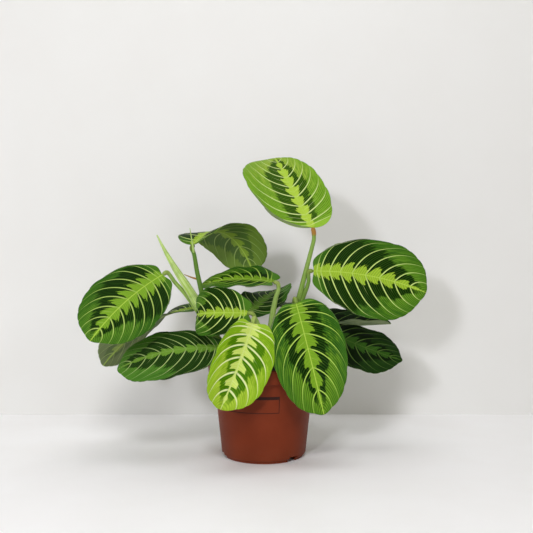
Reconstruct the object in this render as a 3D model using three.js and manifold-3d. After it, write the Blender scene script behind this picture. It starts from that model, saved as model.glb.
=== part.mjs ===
// A potted prayer plant: a moulded nursery pot filled with soil, four leafy shoots standing in the
// soil, and fifteen large oval blades, each carried on its own petiole.
// Lengths are millimetres and angles are degrees. +Z is up, the viewer's side is -Y, and the origin
// is the centre of the flat that the pot stands on.

import * as THREE from 'three';
import { mergeVertices } from 'three/addons/utils/BufferGeometryUtils.js';
import Module from 'manifold-3d';

const wasm = await Module();
wasm.setup();

// Pot
const POT_HEIGHT = 98;
const RIM_RADIUS = 60;
const RIM_CHAMFER = 0.8;
const COLLAR_HEIGHT = 15;
const COLLAR_FOOT_RADIUS = 58.6;
const BODY_TOP_RADIUS = 53.4;
const BODY_FOOT_RADIUS = 44.8;
const FOOT_RADIUS = 42;
const FOOT_WIDTH = 2.6;
const FOOT_HEIGHT = 3;
const BASE_DISC_RADIUS = 30;
const CHANNEL_HEIGHT = 4.5;
const CHANNEL_SLOPE = 1;
const WALL = 1.4;
const POT_SIDES = 56;
const DRAIN_NOTCHES = 3;
const DRAIN_NOTCH_ANGLE = -46;
const DRAIN_NOTCH_WIDTH = 12;
const DRAIN_NOTCH_HEIGHT = 5.5;
const DRAIN_HOLES = 6;
const DRAIN_HOLE_RADIUS = 3;
const DRAIN_HOLE_SIDES = 12;
const CUT_OVERSHOOT = 1;

// Soil
const SOIL_GAP = 0.3;
const SOIL_EDGE_HEIGHT = 86;
const SOIL_MOUND = 5;
const SOIL_SHOULDER_RADIUS = 34;
const SOIL_SHOULDER_RISE = 3.8;
const SOIL_SIDES = 48;
const HOLE_CLEARANCE = 0.35;

// Blades
const BLADE_THICKNESS = 0.7;
const VEIN_SPREAD = 0.48;
const VEIN_LEAN = 0.35;
const VEIN_RISE = 0.88;
const MIDRIB_EASE = 0.06;
const MIDRIB_POWER = 3;
const MARGIN_ROUNDNESS = 0.88;
const NOTCH_SPAN = 0.7;
const TIP_SPAN = 0.16;
const MIDRIB_STEPS = 48;
const QUILT_HEIGHT = 0.6;
const BASE_ROWS = [0.16, 0.32, 0.52, 0.76];
const HALF_COLUMNS = [0.34, 0.68, 1];

// Stems
const STEM_SIDES = 8;
const STEM_STEP = 7;
const SEAT_GAP = 1.3;

// One row for each blade. base is where the midrib starts, length and width are those of the flat
// blade, heading and pitch are the way the midrib sets out, and roll raises the blade's left side.
// bend, swing and twist turn the midrib on its way to the tip, fold lifts the left and right halves,
// share is the left half's part of the width, egg moves the widest place toward the tip, and skew
// slides the left half toward the tip. A low roundness makes a blunt outline, and a high spread
// crowds the side veins toward the base.
const LEAVES = [
  { name: 'leaf_top', base: [51, -15, 243], length: 112, width: 78, heading: 155, pitch: 61, roll: -61,
    bend: -57, bendPower: 1.7, swing: -7.5, fold: [6, -3], curl: 8, share: 1.13, egg: -0.04, skew: 0.47,
    notch: 0 },
  { name: 'leaf_right', base: [53, -10, 197], length: 122, width: 90, heading: 4, pitch: 1, roll: 65,
    bend: -10, swing: -21, fold: [9, 0], share: 0.93, egg: 0.16, skew: 0.08, notch: 3.7 },
  { name: 'leaf_front_right', base: [34, -20, 163], length: 119, width: 77, heading: -75, pitch: -45,
    roll: 22, bend: -40, swing: -4, twist: 5, fold: [8, 20], egg: -0.03, skew: -0.09, notch: 2.5,
    roundness: 0.92, spread: 0.6, pairs: 7 },
  { name: 'leaf_front_young', base: [-11, -45, 144], length: 92, width: 61, heading: -111, pitch: -49,
    roll: -39, bend: -25, twist: -9, fold: [18, 11], share: 1.07, egg: 0.06, skew: -0.12, notch: 3,
    roundness: 0.66, spread: 0.55, pairs: 6, finish: 'youngBlade' },
  { name: 'leaf_centre_small', base: [-17, -38, 154], length: 70, width: 52, heading: 182, pitch: 2,
    roll: -80, bend: -90, bendPower: 1.6, share: 0.96, skew: 0.1, pairs: 6 },
  { name: 'leaf_left', base: [-109, 0, 193], length: 107, width: 79, heading: 219, pitch: -26, roll: -50,
    bend: -8, swing: 21, fold: [8, 2], share: 1.06, egg: 0.08, notch: 4 },
  { name: 'leaf_low_left', base: [-44, -20, 117], length: 109, width: 74, heading: 192, pitch: 2,
    roll: -42, bend: -34, bendPower: 1.8, swing: 12, fold: [4, -14], egg: 0.08 },
  { name: 'leaf_left_behind', base: [-79, 30, 155], length: 120, width: 71, heading: 178, pitch: -8,
    roll: -15, bend: -50, twist: 64, fold: [6, 6] },
  { name: 'leaf_back_left', base: [-77, 14, 226], length: 122, width: 80, heading: 60, pitch: 43,
    roll: -2, bend: -130, bendPower: 1.1, swing: -7, twist: -20, fold: [4, 9], share: 1.18, egg: 0.2,
    skew: -0.1, notch: 0 },
  { name: 'leaf_centre_back', base: [10, 10, 185], length: 81, width: 60, heading: 174, pitch: 12,
    roll: -12, bend: -30, twist: 5, fold: [-5, 18], egg: -0.1, skew: 0.22, pairs: 7 },
  { name: 'leaf_centre_dark', base: [-16, 10, 153], length: 84, width: 52, heading: 58, pitch: 24,
    roll: 35, bend: -15, twist: -60, fold: [6, 6], egg: -0.1, pairs: 7 },
  { name: 'leaf_low_right', base: [58, 5, 136], length: 96, width: 64, heading: -1, pitch: -25,
    roll: 40, bend: 5, swing: 5, twist: 3, fold: [-1, 0], share: 0.94, egg: 0.25, skew: 0.18, notch: 2,
    roundness: 1.15 },
  { name: 'leaf_right_folded', base: [38, 68, 129], length: 108, width: 60, heading: 0, pitch: 3,
    fold: [40, 18], pairs: 7 },
  { name: 'leaf_back', base: [22, 28, 157], length: 96, width: 64, heading: 84, pitch: 4, roll: 4,
    bend: -20, bendPower: 2, fold: [4, 4], pairs: 7 },
  { name: 'leaf_low_back', base: [-30, 22, 118], length: 92, width: 60, heading: 102, pitch: 5,
    bend: -65, fold: [5, 5], pairs: 7 },
];

const LEAF_DEFAULTS = {
  roll: 0, bend: 0, bendPower: 1, swing: 0, twist: 0, fold: [8, 8], curl: 0, wave: 1.2, waves: 3,
  share: 1, egg: 0, skew: 0, notch: 5.5, tip: 3, roundness: MARGIN_ROUNDNESS, spread: VEIN_SPREAD,
  pairs: 8, finish: 'blade',
};

// One row for each shoot. Its first stem stands in the soil, and each other stem starts inside one
// that comes before it. A stem with a leaf ends at that leaf's base, coming in along the midrib.
// Radii run from a stem's first point to its last, and seatGap is its own gap to its leaf's base.
const SHOOTS = [
  { name: 'shoot_left', stems: [
    { points: [[-20, 8, 64], [-27, 8, 88], [-45, 10, 113], [-62, 12, 139]], radii: [4.2, 4.6, 5] },
    { points: [[-61, 12, 137], [-69.5, 12, 149], [-86, 10, 172], [-97, 7, 185]], radii: [3, 2.4, 2],
      leaf: 'leaf_left', reach: 6 },
    { points: [[-61, 12, 137], [-67, 19, 149]], radii: [3, 2.2, 1.8], leaf: 'leaf_left_behind', reach: 6 },
    { points: [[-61, 12, 137], [-64, 5, 156], [-67, -3, 175], [-72, -1, 197], [-76, 8, 215]],
      radii: [3.4, 2.6, 2.1], leaf: 'leaf_back_left', reach: 5, seatGap: 0.5 },
    { points: [[-61, 12, 137], [-67, 8, 152], [-83, 5, 179.5], [-94.5, 5, 197], [-106.5, 5, 217.5],
      [-116, 5, 236]], radii: [4, 5.2, 4.4, 2.6, 0.7] },
  ] },
  { name: 'shoot_centre', stems: [
    { points: [[4, 4, 64], [4, 4, 90], [8, 6, 140], [13, 9, 168], [16, 10, 177]],
      radii: [4, 3.8, 3.3, 1.9], leaf: 'leaf_centre_back', reach: 5 },
    { points: [[4, 4, 90], [-4, 0, 118], [-14, -2, 140]], radii: [3, 2.4, 2], leaf: 'leaf_centre_dark',
      reach: 5 },
    { points: [[4, 4, 90], [-3, -14, 115], [-7, -29, 136], [-8.5, -36, 148]], radii: [3, 2.2, 1.8],
      leaf: 'leaf_centre_small', reach: 5 },
    { points: [[4, 4, 90], [2, -18, 112], [-4, -35, 138]], radii: [3, 2.4, 2], leaf: 'leaf_front_young',
      reach: 7 },
    { points: [[4, 4, 90], [14, 16, 122], [20, 21, 148]], radii: [3, 2.2, 1.8], leaf: 'leaf_back',
      reach: 5 },
  ] },
  { name: 'shoot_right', stems: [
    { points: [[20, 4, 64], [23, 4, 90], [34, 1, 150], [43, -7, 190], [51, -13, 222], [53, -14, 231]],
      radii: [4.4, 4.2, 3.4, 2.5, 2], leaf: 'leaf_top', reach: 3 },
    { points: [[33, 1, 146], [41, -3, 166], [47.5, -8, 185]], radii: [3, 2.3, 1.9], leaf: 'leaf_right',
      reach: 5 },
    { points: [[23, 4, 90], [30, -2, 130], [32, -6, 160]], radii: [3, 2.6, 2], leaf: 'leaf_front_right',
      reach: 7 },
    { points: [[23, 4, 90], [33, 5, 114], [45, 5, 132]], radii: [3, 2.4, 1.9], leaf: 'leaf_low_right',
      reach: 6 },
    { points: [[23, 4, 90], [24, 24, 106], [26, 50, 121]], radii: [3, 2.3, 1.8],
      leaf: 'leaf_right_folded', reach: 5 },
  ] },
  { name: 'shoot_front_left', stems: [
    { points: [[-16, -8, 64], [-18, -9, 88], [-27, -15, 105], [-34, -18, 114]], radii: [3.4, 3, 2.2],
      leaf: 'leaf_low_left', reach: 5 },
    { points: [[-18, -8, 88], [-24, 3, 103], [-28, 12, 114]], radii: [2.6, 2.2, 1.8],
      leaf: 'leaf_low_back', reach: 5 },
  ] },
];

// Finishes
const FINISHES = {
  pot: { color: 0x7a3826, roughness: 0.45 },
  soil: { color: 0x2c2119, roughness: 0.95 },
  stem: { color: 0x7fa544, roughness: 0.5 },
  blade: { color: 0x3f7a1e, roughness: 0.45 },
  youngBlade: { color: 0xb5d63f, roughness: 0.45 },
};

const radians = THREE.MathUtils.degToRad;

// A closed geometry with its shared corners merged
function closed(geometry) {
  geometry.deleteAttribute('normal');
  geometry.deleteAttribute('uv');
  return mergeVertices(geometry, 1e-4);
}

function toSolid(geometry) {
  const merged = closed(geometry);
  return new wasm.Manifold(new wasm.Mesh({
    numProp: 3,
    vertProperties: new Float32Array(merged.attributes.position.array),
    triVerts: new Uint32Array(merged.index.array),
  }));
}

function toGeometry(solid) {
  const mesh = solid.getMesh();
  const geometry = new THREE.BufferGeometry();
  geometry.setAttribute('position', new THREE.BufferAttribute(mesh.vertProperties, 3));
  geometry.setIndex(new THREE.BufferAttribute(mesh.triVerts, 1));
  return geometry;
}

function piece(name, geometry, finish) {
  const material = new THREE.MeshStandardMaterial({ ...finish, metalness: 0 });
  const mesh = new THREE.Mesh(geometry, material);
  mesh.name = name;
  return mesh;
}

// A turned body standing on +Z, from its profile of [radius, height] points
function turned(profile, sides) {
  const points = profile.map(([radius, height]) => new THREE.Vector2(radius, height));
  return new THREE.LatheGeometry(points, sides).rotateX(Math.PI / 2);
}

// Radius of the pot's outer wall between its foot and its collar
function bodyRadius(height) {
  const along = (height - FOOT_HEIGHT) / (POT_HEIGHT - COLLAR_HEIGHT - FOOT_HEIGHT);
  return THREE.MathUtils.lerp(BODY_FOOT_RADIUS, BODY_TOP_RADIUS, along);
}

// The pot is one thin moulded wall. Its middle stands on the table as a flat disc, a raised channel
// runs round it over the drain holes, and the foot ring outside that is notched to let water out.
function potProfile() {
  const collarFoot = POT_HEIGHT - COLLAR_HEIGHT;
  const footInside = FOOT_RADIUS - FOOT_WIDTH;
  const channelFloor = CHANNEL_HEIGHT + WALL;
  return [
    [0, 0],
    [BASE_DISC_RADIUS, 0],
    [BASE_DISC_RADIUS + CHANNEL_SLOPE, CHANNEL_HEIGHT],
    [footInside - CHANNEL_SLOPE, CHANNEL_HEIGHT],
    [footInside, 0],
    [FOOT_RADIUS, 0],
    [FOOT_RADIUS, FOOT_HEIGHT],
    [BODY_FOOT_RADIUS, FOOT_HEIGHT],
    [BODY_TOP_RADIUS, collarFoot],
    [COLLAR_FOOT_RADIUS, collarFoot],
    [RIM_RADIUS, POT_HEIGHT - RIM_CHAMFER],
    [RIM_RADIUS - RIM_CHAMFER, POT_HEIGHT],
    [RIM_RADIUS - WALL - RIM_CHAMFER, POT_HEIGHT],
    [COLLAR_FOOT_RADIUS - WALL, collarFoot + WALL],
    [bodyRadius(collarFoot) - WALL, collarFoot + WALL],
    [bodyRadius(channelFloor) - WALL, channelFloor],
    [BASE_DISC_RADIUS - WALL + CHANNEL_SLOPE, channelFloor],
    [BASE_DISC_RADIUS - WALL, WALL],
    [0, WALL],
  ];
}

function makePot() {
  let pot = toSolid(turned(potProfile(), POT_SIDES));
  const notchLength = BODY_FOOT_RADIUS - FOOT_RADIUS + FOOT_WIDTH + 2 * CHANNEL_SLOPE;
  const notchMiddle = (BODY_FOOT_RADIUS + FOOT_RADIUS - FOOT_WIDTH) / 2;
  for (let i = 0; i < DRAIN_NOTCHES; i += 1) {
    const cutHeight = DRAIN_NOTCH_HEIGHT + CUT_OVERSHOOT;
    const notch = new THREE.BoxGeometry(notchLength, DRAIN_NOTCH_WIDTH, cutHeight);
    notch.translate(notchMiddle, 0, cutHeight / 2 - CUT_OVERSHOOT);
    notch.rotateZ(radians(DRAIN_NOTCH_ANGLE + (360 / DRAIN_NOTCHES) * i));
    pot = pot.subtract(toSolid(notch));
  }
  const holeRing = (BASE_DISC_RADIUS + FOOT_RADIUS - FOOT_WIDTH) / 2;
  for (let i = 0; i < DRAIN_HOLES; i += 1) {
    const depth = WALL + 2 * CUT_OVERSHOOT;
    const hole = new THREE.CylinderGeometry(DRAIN_HOLE_RADIUS, DRAIN_HOLE_RADIUS, depth, DRAIN_HOLE_SIDES);
    hole.rotateX(Math.PI / 2);
    hole.translate(holeRing, 0, CHANNEL_HEIGHT + WALL / 2);
    hole.rotateZ(radians(DRAIN_NOTCH_ANGLE + (360 / DRAIN_HOLES) * (i + 0.5)));
    pot = pot.subtract(toSolid(hole));
  }
  return piece('pot', toGeometry(pot), FINISHES.pot);
}

// A stem along a smooth line, round in section, whose radius follows the given list
function stemGeometry(points, radii, extra = 0) {
  const curve = new THREE.CatmullRomCurve3(points.map((p) => new THREE.Vector3(...p)), false, 'centripetal');
  const steps = Math.max(2, Math.ceil(curve.getLength() / STEM_STEP));
  const corners = [];
  for (let i = 0; i < STEM_SIDES; i += 1) {
    const angle = (2 * Math.PI * i) / STEM_SIDES;
    corners.push(new THREE.Vector2(Math.cos(angle), Math.sin(angle)));
  }
  const settings = { steps, extrudePath: curve, bevelEnabled: false };
  const geometry = closed(new THREE.ExtrudeGeometry(new THREE.Shape(corners), settings));
  const centres = curve.getSpacedPoints(steps);
  const radiusAt = (t) => {
    const place = t * (radii.length - 1);
    const index = Math.min(Math.floor(place), radii.length - 2);
    return THREE.MathUtils.lerp(radii[index], radii[index + 1], place - index) + extra;
  };
  const position = geometry.attributes.position;
  const corner = new THREE.Vector3();
  for (let i = 0; i < position.count; i += 1) {
    corner.fromBufferAttribute(position, i);
    let ring = 0;
    centres.forEach((centre, k) => {
      ring = corner.distanceTo(centre) < corner.distanceTo(centres[ring]) ? k : ring;
    });
    corner.sub(centres[ring]).multiplyScalar(radiusAt(ring / steps)).add(centres[ring]);
    position.setXYZ(i, corner.x, corner.y, corner.z);
  }
  return geometry;
}

// The midrib as a chain of frames. along points to the tip, left to the blade's left side and up
// out of its upper face.
function midribFrames(leaf) {
  const heading = radians(leaf.heading);
  const pitch = radians(leaf.pitch);
  const level = new THREE.Vector3(Math.cos(heading), Math.sin(heading), 0);
  const along = level.clone().multiplyScalar(Math.cos(pitch));
  along.z = Math.sin(pitch);
  const left = new THREE.Vector3(-Math.sin(heading), Math.cos(heading), 0);
  left.applyAxisAngle(along, radians(leaf.roll));
  const up = new THREE.Vector3().crossVectors(along, left);
  const place = new THREE.Vector3(...leaf.base);
  const frames = [{ place: place.clone(), along: along.clone(), left: left.clone(), up: up.clone() }];
  const step = (leaf.length + leaf.tip) / MIDRIB_STEPS;
  for (let i = 0; i < MIDRIB_STEPS; i += 1) {
    const bent = ((i + 1) / MIDRIB_STEPS) ** leaf.bendPower - (i / MIDRIB_STEPS) ** leaf.bendPower;
    along.applyAxisAngle(left, radians(-leaf.bend * bent));
    up.crossVectors(along, left);
    along.applyAxisAngle(up, radians(leaf.swing / MIDRIB_STEPS));
    left.crossVectors(up, along);
    left.applyAxisAngle(along, radians(leaf.twist / MIDRIB_STEPS));
    up.crossVectors(along, left);
    place.addScaledVector(along, step);
    frames.push({ place: place.clone(), along: along.clone(), left: left.clone(), up: up.clone() });
  }
  return frames;
}

// The frame at a distance along the midrib, which may lie a little before its start
function frameAt(leaf, frames, distance) {
  const place = (distance / (leaf.length + leaf.tip)) * MIDRIB_STEPS;
  const index = THREE.MathUtils.clamp(Math.floor(place), 0, MIDRIB_STEPS - 1);
  const part = place - index;
  const mix = (key) => frames[index][key].clone().lerp(frames[index + 1][key], part);
  if (place < 0) {
    const start = frames[0];
    return { ...start, place: start.place.clone().addScaledVector(start.along, distance) };
  }
  return { place: mix('place'), along: mix('along'), left: mix('left'), up: mix('up') };
}

// A row of the flat blade follows one side vein, from the midrib to the margin. row runs from 0 at
// the base to 1 at the tip, and out from 0 at the midrib to 1 at the margin.
function flatPoint(leaf, row, out, side) {
  const phase = Math.PI * row;
  const full = leaf.length + leaf.tip;
  let marginX = (leaf.length / 2) * (1 - Math.cos(phase));
  if (phase < NOTCH_SPAN) {
    marginX -= leaf.notch * Math.sin((Math.PI * phase) / NOTCH_SPAN) ** 2;
  }
  marginX += leaf.tip * Math.exp(-(((Math.PI - phase) / TIP_SPAN) ** 2));
  const half = (leaf.width / 2) * (side > 0 ? leaf.share : 2 - leaf.share);
  const fullness = Math.max(Math.sin(phase), 0) ** leaf.roundness;
  const marginY = half * fullness * (1 - leaf.egg * Math.cos(phase));
  marginX += leaf.skew * side * marginY;
  const midribX = full * THREE.MathUtils.lerp(row ** MIDRIB_POWER, row, MIDRIB_EASE);
  const a = (1 - out) ** 2;
  const b = 2 * out * (1 - out);
  const c = out ** 2;
  return {
    x: a * midribX + b * (midribX + VEIN_LEAN * (marginX - midribX)) + c * marginX,
    y: b * VEIN_RISE * marginY + c * marginY,
  };
}

// A point of the blade's upper face, and the way the face looks there
function bladePoint(leaf, frames, row, across) {
  const side = across < 0 ? -1 : 1;
  const out = Math.abs(across);
  const { x, y } = flatPoint(leaf, row, out, side);
  const frame = frameAt(leaf, frames, x);
  const half = leaf.width / 2;
  const fold = radians(side > 0 ? leaf.fold[0] : leaf.fold[1]);
  const slope = fold + (radians(leaf.curl) * y) / half;
  const middle = (fold + slope) / 2;
  const turn = 2 * Math.PI * ((leaf.waves * x) / leaf.length + (side > 0 ? 0 : 0.5));
  const wave = leaf.wave * (y / half) ** 2 * Math.sin(turn);
  const interval = (row ** (1 / leaf.spread)) * (leaf.pairs + 1);
  const quilt = QUILT_HEIGHT * Math.sin(Math.PI * (interval % 1)) * Math.min(1, 4 * out * (1 - out));
  const point = frame.place.clone();
  point.addScaledVector(frame.left, side * y * Math.cos(middle));
  point.addScaledVector(frame.up, y * Math.sin(middle) + wave + quilt);
  const face = frame.up.clone().multiplyScalar(Math.cos(slope));
  face.addScaledVector(frame.left, -side * Math.sin(slope));
  return { point, face: face.normalize() };
}

// Rows of the blade: a few before the first side vein, then one on each side vein and one between
// each two
function bladeRows(leaf) {
  const firstVein = (1 / (leaf.pairs + 1)) ** leaf.spread;
  const rows = BASE_ROWS.map((part) => part * firstVein);
  for (let i = 1; i <= leaf.pairs; i += 1) {
    rows.push((i / (leaf.pairs + 1)) ** leaf.spread);
    rows.push(((i + 0.5) / (leaf.pairs + 1)) ** leaf.spread);
  }
  return rows;
}

function makeLeaf(row) {
  const leaf = { ...LEAF_DEFAULTS, ...row };
  const frames = midribFrames(leaf);
  const columns = [...HALF_COLUMNS.map((c) => -c).reverse(), 0, ...HALF_COLUMNS];
  const rows = bladeRows(leaf);
  const upper = [];
  const lower = [];
  const addPoint = (rowPlace, across) => {
    const { point, face } = bladePoint(leaf, frames, rowPlace, across);
    upper.push(...point.toArray());
    lower.push(...point.addScaledVector(face, -BLADE_THICKNESS).toArray());
  };
  addPoint(0, 0);
  rows.forEach((rowPlace) => columns.forEach((across) => addPoint(rowPlace, across)));
  addPoint(1, 0);
  const count = upper.length / 3;
  const wide = columns.length;
  const at = (r, c) => 1 + r * wide + c;
  const tip = count - 1;
  const faces = [];
  const bothFaces = (a, b, c) => faces.push(a, b, c, count + a, count + c, count + b);
  for (let c = 0; c < wide - 1; c += 1) {
    bothFaces(0, at(0, c), at(0, c + 1));
    bothFaces(tip, at(rows.length - 1, c + 1), at(rows.length - 1, c));
    for (let r = 0; r < rows.length - 1; r += 1) {
      bothFaces(at(r, c), at(r + 1, c), at(r + 1, c + 1));
      bothFaces(at(r, c), at(r + 1, c + 1), at(r, c + 1));
    }
  }
  const margin = [0];
  rows.forEach((_, r) => margin.push(at(r, wide - 1)));
  margin.push(tip);
  [...rows.keys()].reverse().forEach((r) => margin.push(at(r, 0)));
  margin.forEach((a, i) => {
    const b = margin[(i + 1) % margin.length];
    faces.push(a, b, count + b, a, count + b, count + a);
  });
  const geometry = new THREE.BufferGeometry();
  geometry.setAttribute('position', new THREE.Float32BufferAttribute([...upper, ...lower], 3));
  geometry.setIndex(faces);
  return piece(leaf.name, geometry, FINISHES[leaf.finish]);
}

// A stem's points, with the last stretch laid along the midrib of the leaf that it carries
function stemPoints(stem) {
  if (!stem.leaf) {
    return stem.points;
  }
  const leaf = { ...LEAF_DEFAULTS, ...LEAVES.find((row) => row.name === stem.leaf) };
  const { place, along, up } = midribFrames(leaf)[0];
  const seat = place.clone().addScaledVector(up, -BLADE_THICKNESS / 2);
  const before = seat.clone().addScaledVector(along, -stem.reach);
  const end = seat.clone().addScaledVector(along, -(stem.seatGap ?? SEAT_GAP));
  return [...stem.points, before.toArray(), end.toArray()];
}

function makeShoot(shoot) {
  const stems = shoot.stems.map((stem) => toSolid(stemGeometry(stemPoints(stem), stem.radii)));
  const joined = stems.reduce((whole, stem) => whole.add(stem));
  return piece(shoot.name, toGeometry(joined), FINISHES.stem);
}

// The soil fills the pot up to its collar, rises a little in the middle, and has one plain hole for
// each shoot
function makeSoil() {
  const inset = WALL + SOIL_GAP;
  const floor = CHANNEL_HEIGHT + WALL + SOIL_GAP;
  const collarInside = COLLAR_FOOT_RADIUS - inset;
  const ledge = POT_HEIGHT - COLLAR_HEIGHT + WALL + SOIL_GAP;
  const sump = BASE_DISC_RADIUS - inset;
  const profile = [
    [0, WALL + SOIL_GAP],
    [sump, WALL + SOIL_GAP],
    [sump + CHANNEL_SLOPE, floor],
    [bodyRadius(floor) - inset, floor],
    [bodyRadius(ledge) - inset, ledge],
    [collarInside, ledge],
    [collarInside, SOIL_EDGE_HEIGHT],
    [SOIL_SHOULDER_RADIUS, SOIL_EDGE_HEIGHT + SOIL_SHOULDER_RISE],
    [0, SOIL_EDGE_HEIGHT + SOIL_MOUND],
  ];
  let soil = toSolid(turned(profile, SOIL_SIDES));
  SHOOTS.forEach((shoot) => {
    shoot.stems.forEach((stem) => {
      soil = soil.subtract(toSolid(stemGeometry(stemPoints(stem), stem.radii, HOLE_CLEARANCE)));
    });
  });
  return piece('soil', toGeometry(soil), FINISHES.soil);
}

const plant = new THREE.Group();
plant.add(makePot());
plant.add(makeSoil());
SHOOTS.forEach((shoot) => plant.add(makeShoot(shoot)));
LEAVES.forEach((leaf) => plant.add(makeLeaf(leaf)));

export default plant;
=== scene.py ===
"""A potted prayer plant on a pale table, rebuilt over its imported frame.

Sizes in the dataclasses are millimetres and degrees. Meshes are written in metres, in the frame's
own axes: +Z up, the viewer's side -Y, and the origin under the middle of the pot.
"""

import logging
import math
from dataclasses import dataclass
from enum import Enum
from functools import cached_property

import bmesh
import bpy
from bmesh.types import BMesh, BMFace, BMLayerItem, BMVert
from bpy.types import Material, NodeSocket, Object
from mathutils import Matrix, Vector, noise

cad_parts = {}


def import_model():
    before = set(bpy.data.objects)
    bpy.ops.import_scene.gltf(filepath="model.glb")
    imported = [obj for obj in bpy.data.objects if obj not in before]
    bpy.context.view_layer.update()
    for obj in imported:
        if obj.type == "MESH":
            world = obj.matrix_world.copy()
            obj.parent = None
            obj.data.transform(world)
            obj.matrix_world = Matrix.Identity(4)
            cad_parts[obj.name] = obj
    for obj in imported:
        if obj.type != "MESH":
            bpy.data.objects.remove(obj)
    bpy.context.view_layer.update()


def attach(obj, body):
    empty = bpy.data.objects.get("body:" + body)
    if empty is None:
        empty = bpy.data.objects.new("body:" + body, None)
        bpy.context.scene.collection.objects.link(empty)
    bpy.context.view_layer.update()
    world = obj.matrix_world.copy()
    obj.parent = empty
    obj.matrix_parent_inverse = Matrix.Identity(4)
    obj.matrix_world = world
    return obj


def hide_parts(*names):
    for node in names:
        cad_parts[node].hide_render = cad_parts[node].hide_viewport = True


LOG = logging.getLogger("scene")
# A millimetre in metres, the least length that counts, and what sets one blade's pattern apart
# from the next
MM = 0.001
TINY = 1e-6
SEED_STEP = 5.1
SMOOTH = {"interpolation_type": "SMOOTHSTEP"}
Pair = tuple[float, float]
Point = tuple[float, float, float]
Step = tuple[float, ...]
Stops = tuple[Pair, ...]
Value = NodeSocket | Step | float
Colour = NodeSocket | str
Layer = tuple[NodeSocket, Colour] | tuple[NodeSocket, Colour, Step]


def linear(hex_colour: str) -> tuple[float, float, float, float]:
    """Turns an sRGB hex colour into linear light.

    Args:
        hex_colour: Six hex digits after a hash sign.

    Returns:
        Red, green, blue and an alpha of 1.
    """
    channels = [int(hex_colour[i:i + 2], 16) / 255 for i in (1, 3, 5)]
    return (*[c / 12.92 if c <= 0.04045 else ((c + 0.055) / 1.055) ** 2.4 for c in channels], 1.0)


def blend(low: float, high: float, part: float) -> float:
    """Mixes two numbers.

    Args:
        low: The value at part 0.
        high: The value at part 1.
        part: The place between them.

    Returns:
        The mixed value.
    """
    return low + (high - low) * part


class Graph:
    """The node tree of one material."""

    def __init__(self, name: str) -> None:
        """Makes an empty material.

        Args:
            name: The material's name.
        """
        self.material = bpy.data.materials.new(name)
        self.material.use_nodes = True
        self.tree = self.material.node_tree
        self.tree.nodes.clear()

    def add(self, kind: str, *values: Value | dict[str | int, Value], out: int | str = 0,
            stops: Stops = (), **settings: str) -> NodeSocket | None:
        """Adds one node with its settings and links.

        Args:
            kind: The node's type without its first words, and after a dot its operation, if any.
            values: Numbers, colours or sockets for its inputs in order, or one dictionary of them.
            out: The output that is given back, by name or number.
            stops: A ramp's pairs of place and grey value.
            settings: The node's properties.

        Returns:
            The output's socket, if the node has outputs.
        """
        kind, _, operation = kind.partition(".")
        node = self.tree.nodes.new("ShaderNode" + kind)
        if operation:
            node.operation = operation
        for key, value in settings.items():
            setattr(node, key, value)
        if stops:
            elements = node.color_ramp.elements
            while len(elements) < len(stops):
                elements.new(0.5)
            for element, (place, grey) in zip(elements, stops):
                element.position = place
                element.color = (grey, grey, grey, 1)
        inputs = values[0] if values and isinstance(values[0], dict) else dict(enumerate(values))
        for key, value in inputs.items():
            if isinstance(value, NodeSocket):
                self.tree.links.new(value, node.inputs[key])
            else:
                node.inputs[key].default_value = value
        return node.outputs[out] if node.outputs else None

    def place(self) -> NodeSocket:
        """Gives the object's own coordinates in millimetres."""
        here = self.add("TexCoord", out="Object")
        return self.add("VectorMath.SCALE", {0: here, "Scale": 1 / MM})

    def lay(self, base: Colour, *layers: Layer) -> NodeSocket:
        """Lays colours over one another.

        Args:
            base: The lowest colour, a hex colour or a socket.
            layers: For each its mask's socket, the colour that shows where the mask is 1, and the
                smooth step that the mask goes through before, if any.

        Returns:
            The last colour's socket.
        """
        for mask, colour, *step in layers:
            if step:
                mask = self.add("MapRange", mask, *step[0], **SMOOTH)
            below, above = [linear(c) if isinstance(c, str) else c for c in (base, colour)]
            base = self.add("Mix", {0: mask, 6: below, 7: above}, out=2, data_type="RGBA")
        return base

    def relief(self, *layers: tuple[NodeSocket, float, float]) -> NodeSocket:
        """Lays reliefs over one another.

        Args:
            layers: For each its height's socket, its depth in millimetres and how much of it shows.

        Returns:
            The normal's socket.
        """
        below = {}
        for height, depth, strength in layers:
            inputs = {"Height": height, "Distance": depth * MM, "Strength": strength, **below}
            below = {"Normal": self.add("Bump", inputs)}
        return below["Normal"]

    def finish(self, inputs: dict[str, Value], see_through: NodeSocket | None = None,
               share: float = 0.0, one_sided: bool = False) -> Material:
        """Adds the surface and the output.

        Args:
            inputs: The surface's numbers, colours or sockets by name.
            see_through: The colour of light that comes through from behind, if any does.
            share: How much of the light comes through.
            one_sided: Whether the surface is clear when it is looked at from its back.

        Returns:
            The material.
        """
        surface = self.add("BsdfPrincipled", inputs)
        if see_through is not None:
            surface = self.add("MixShader", share, surface, self.add("BsdfTranslucent", see_through))
        if one_sided:
            facing_back = self.add("NewGeometry", out="Backfacing")
            surface = self.add("MixShader", facing_back, surface, self.add("BsdfTransparent"))
        self.add("OutputMaterial", surface)
        return self.material


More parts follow.
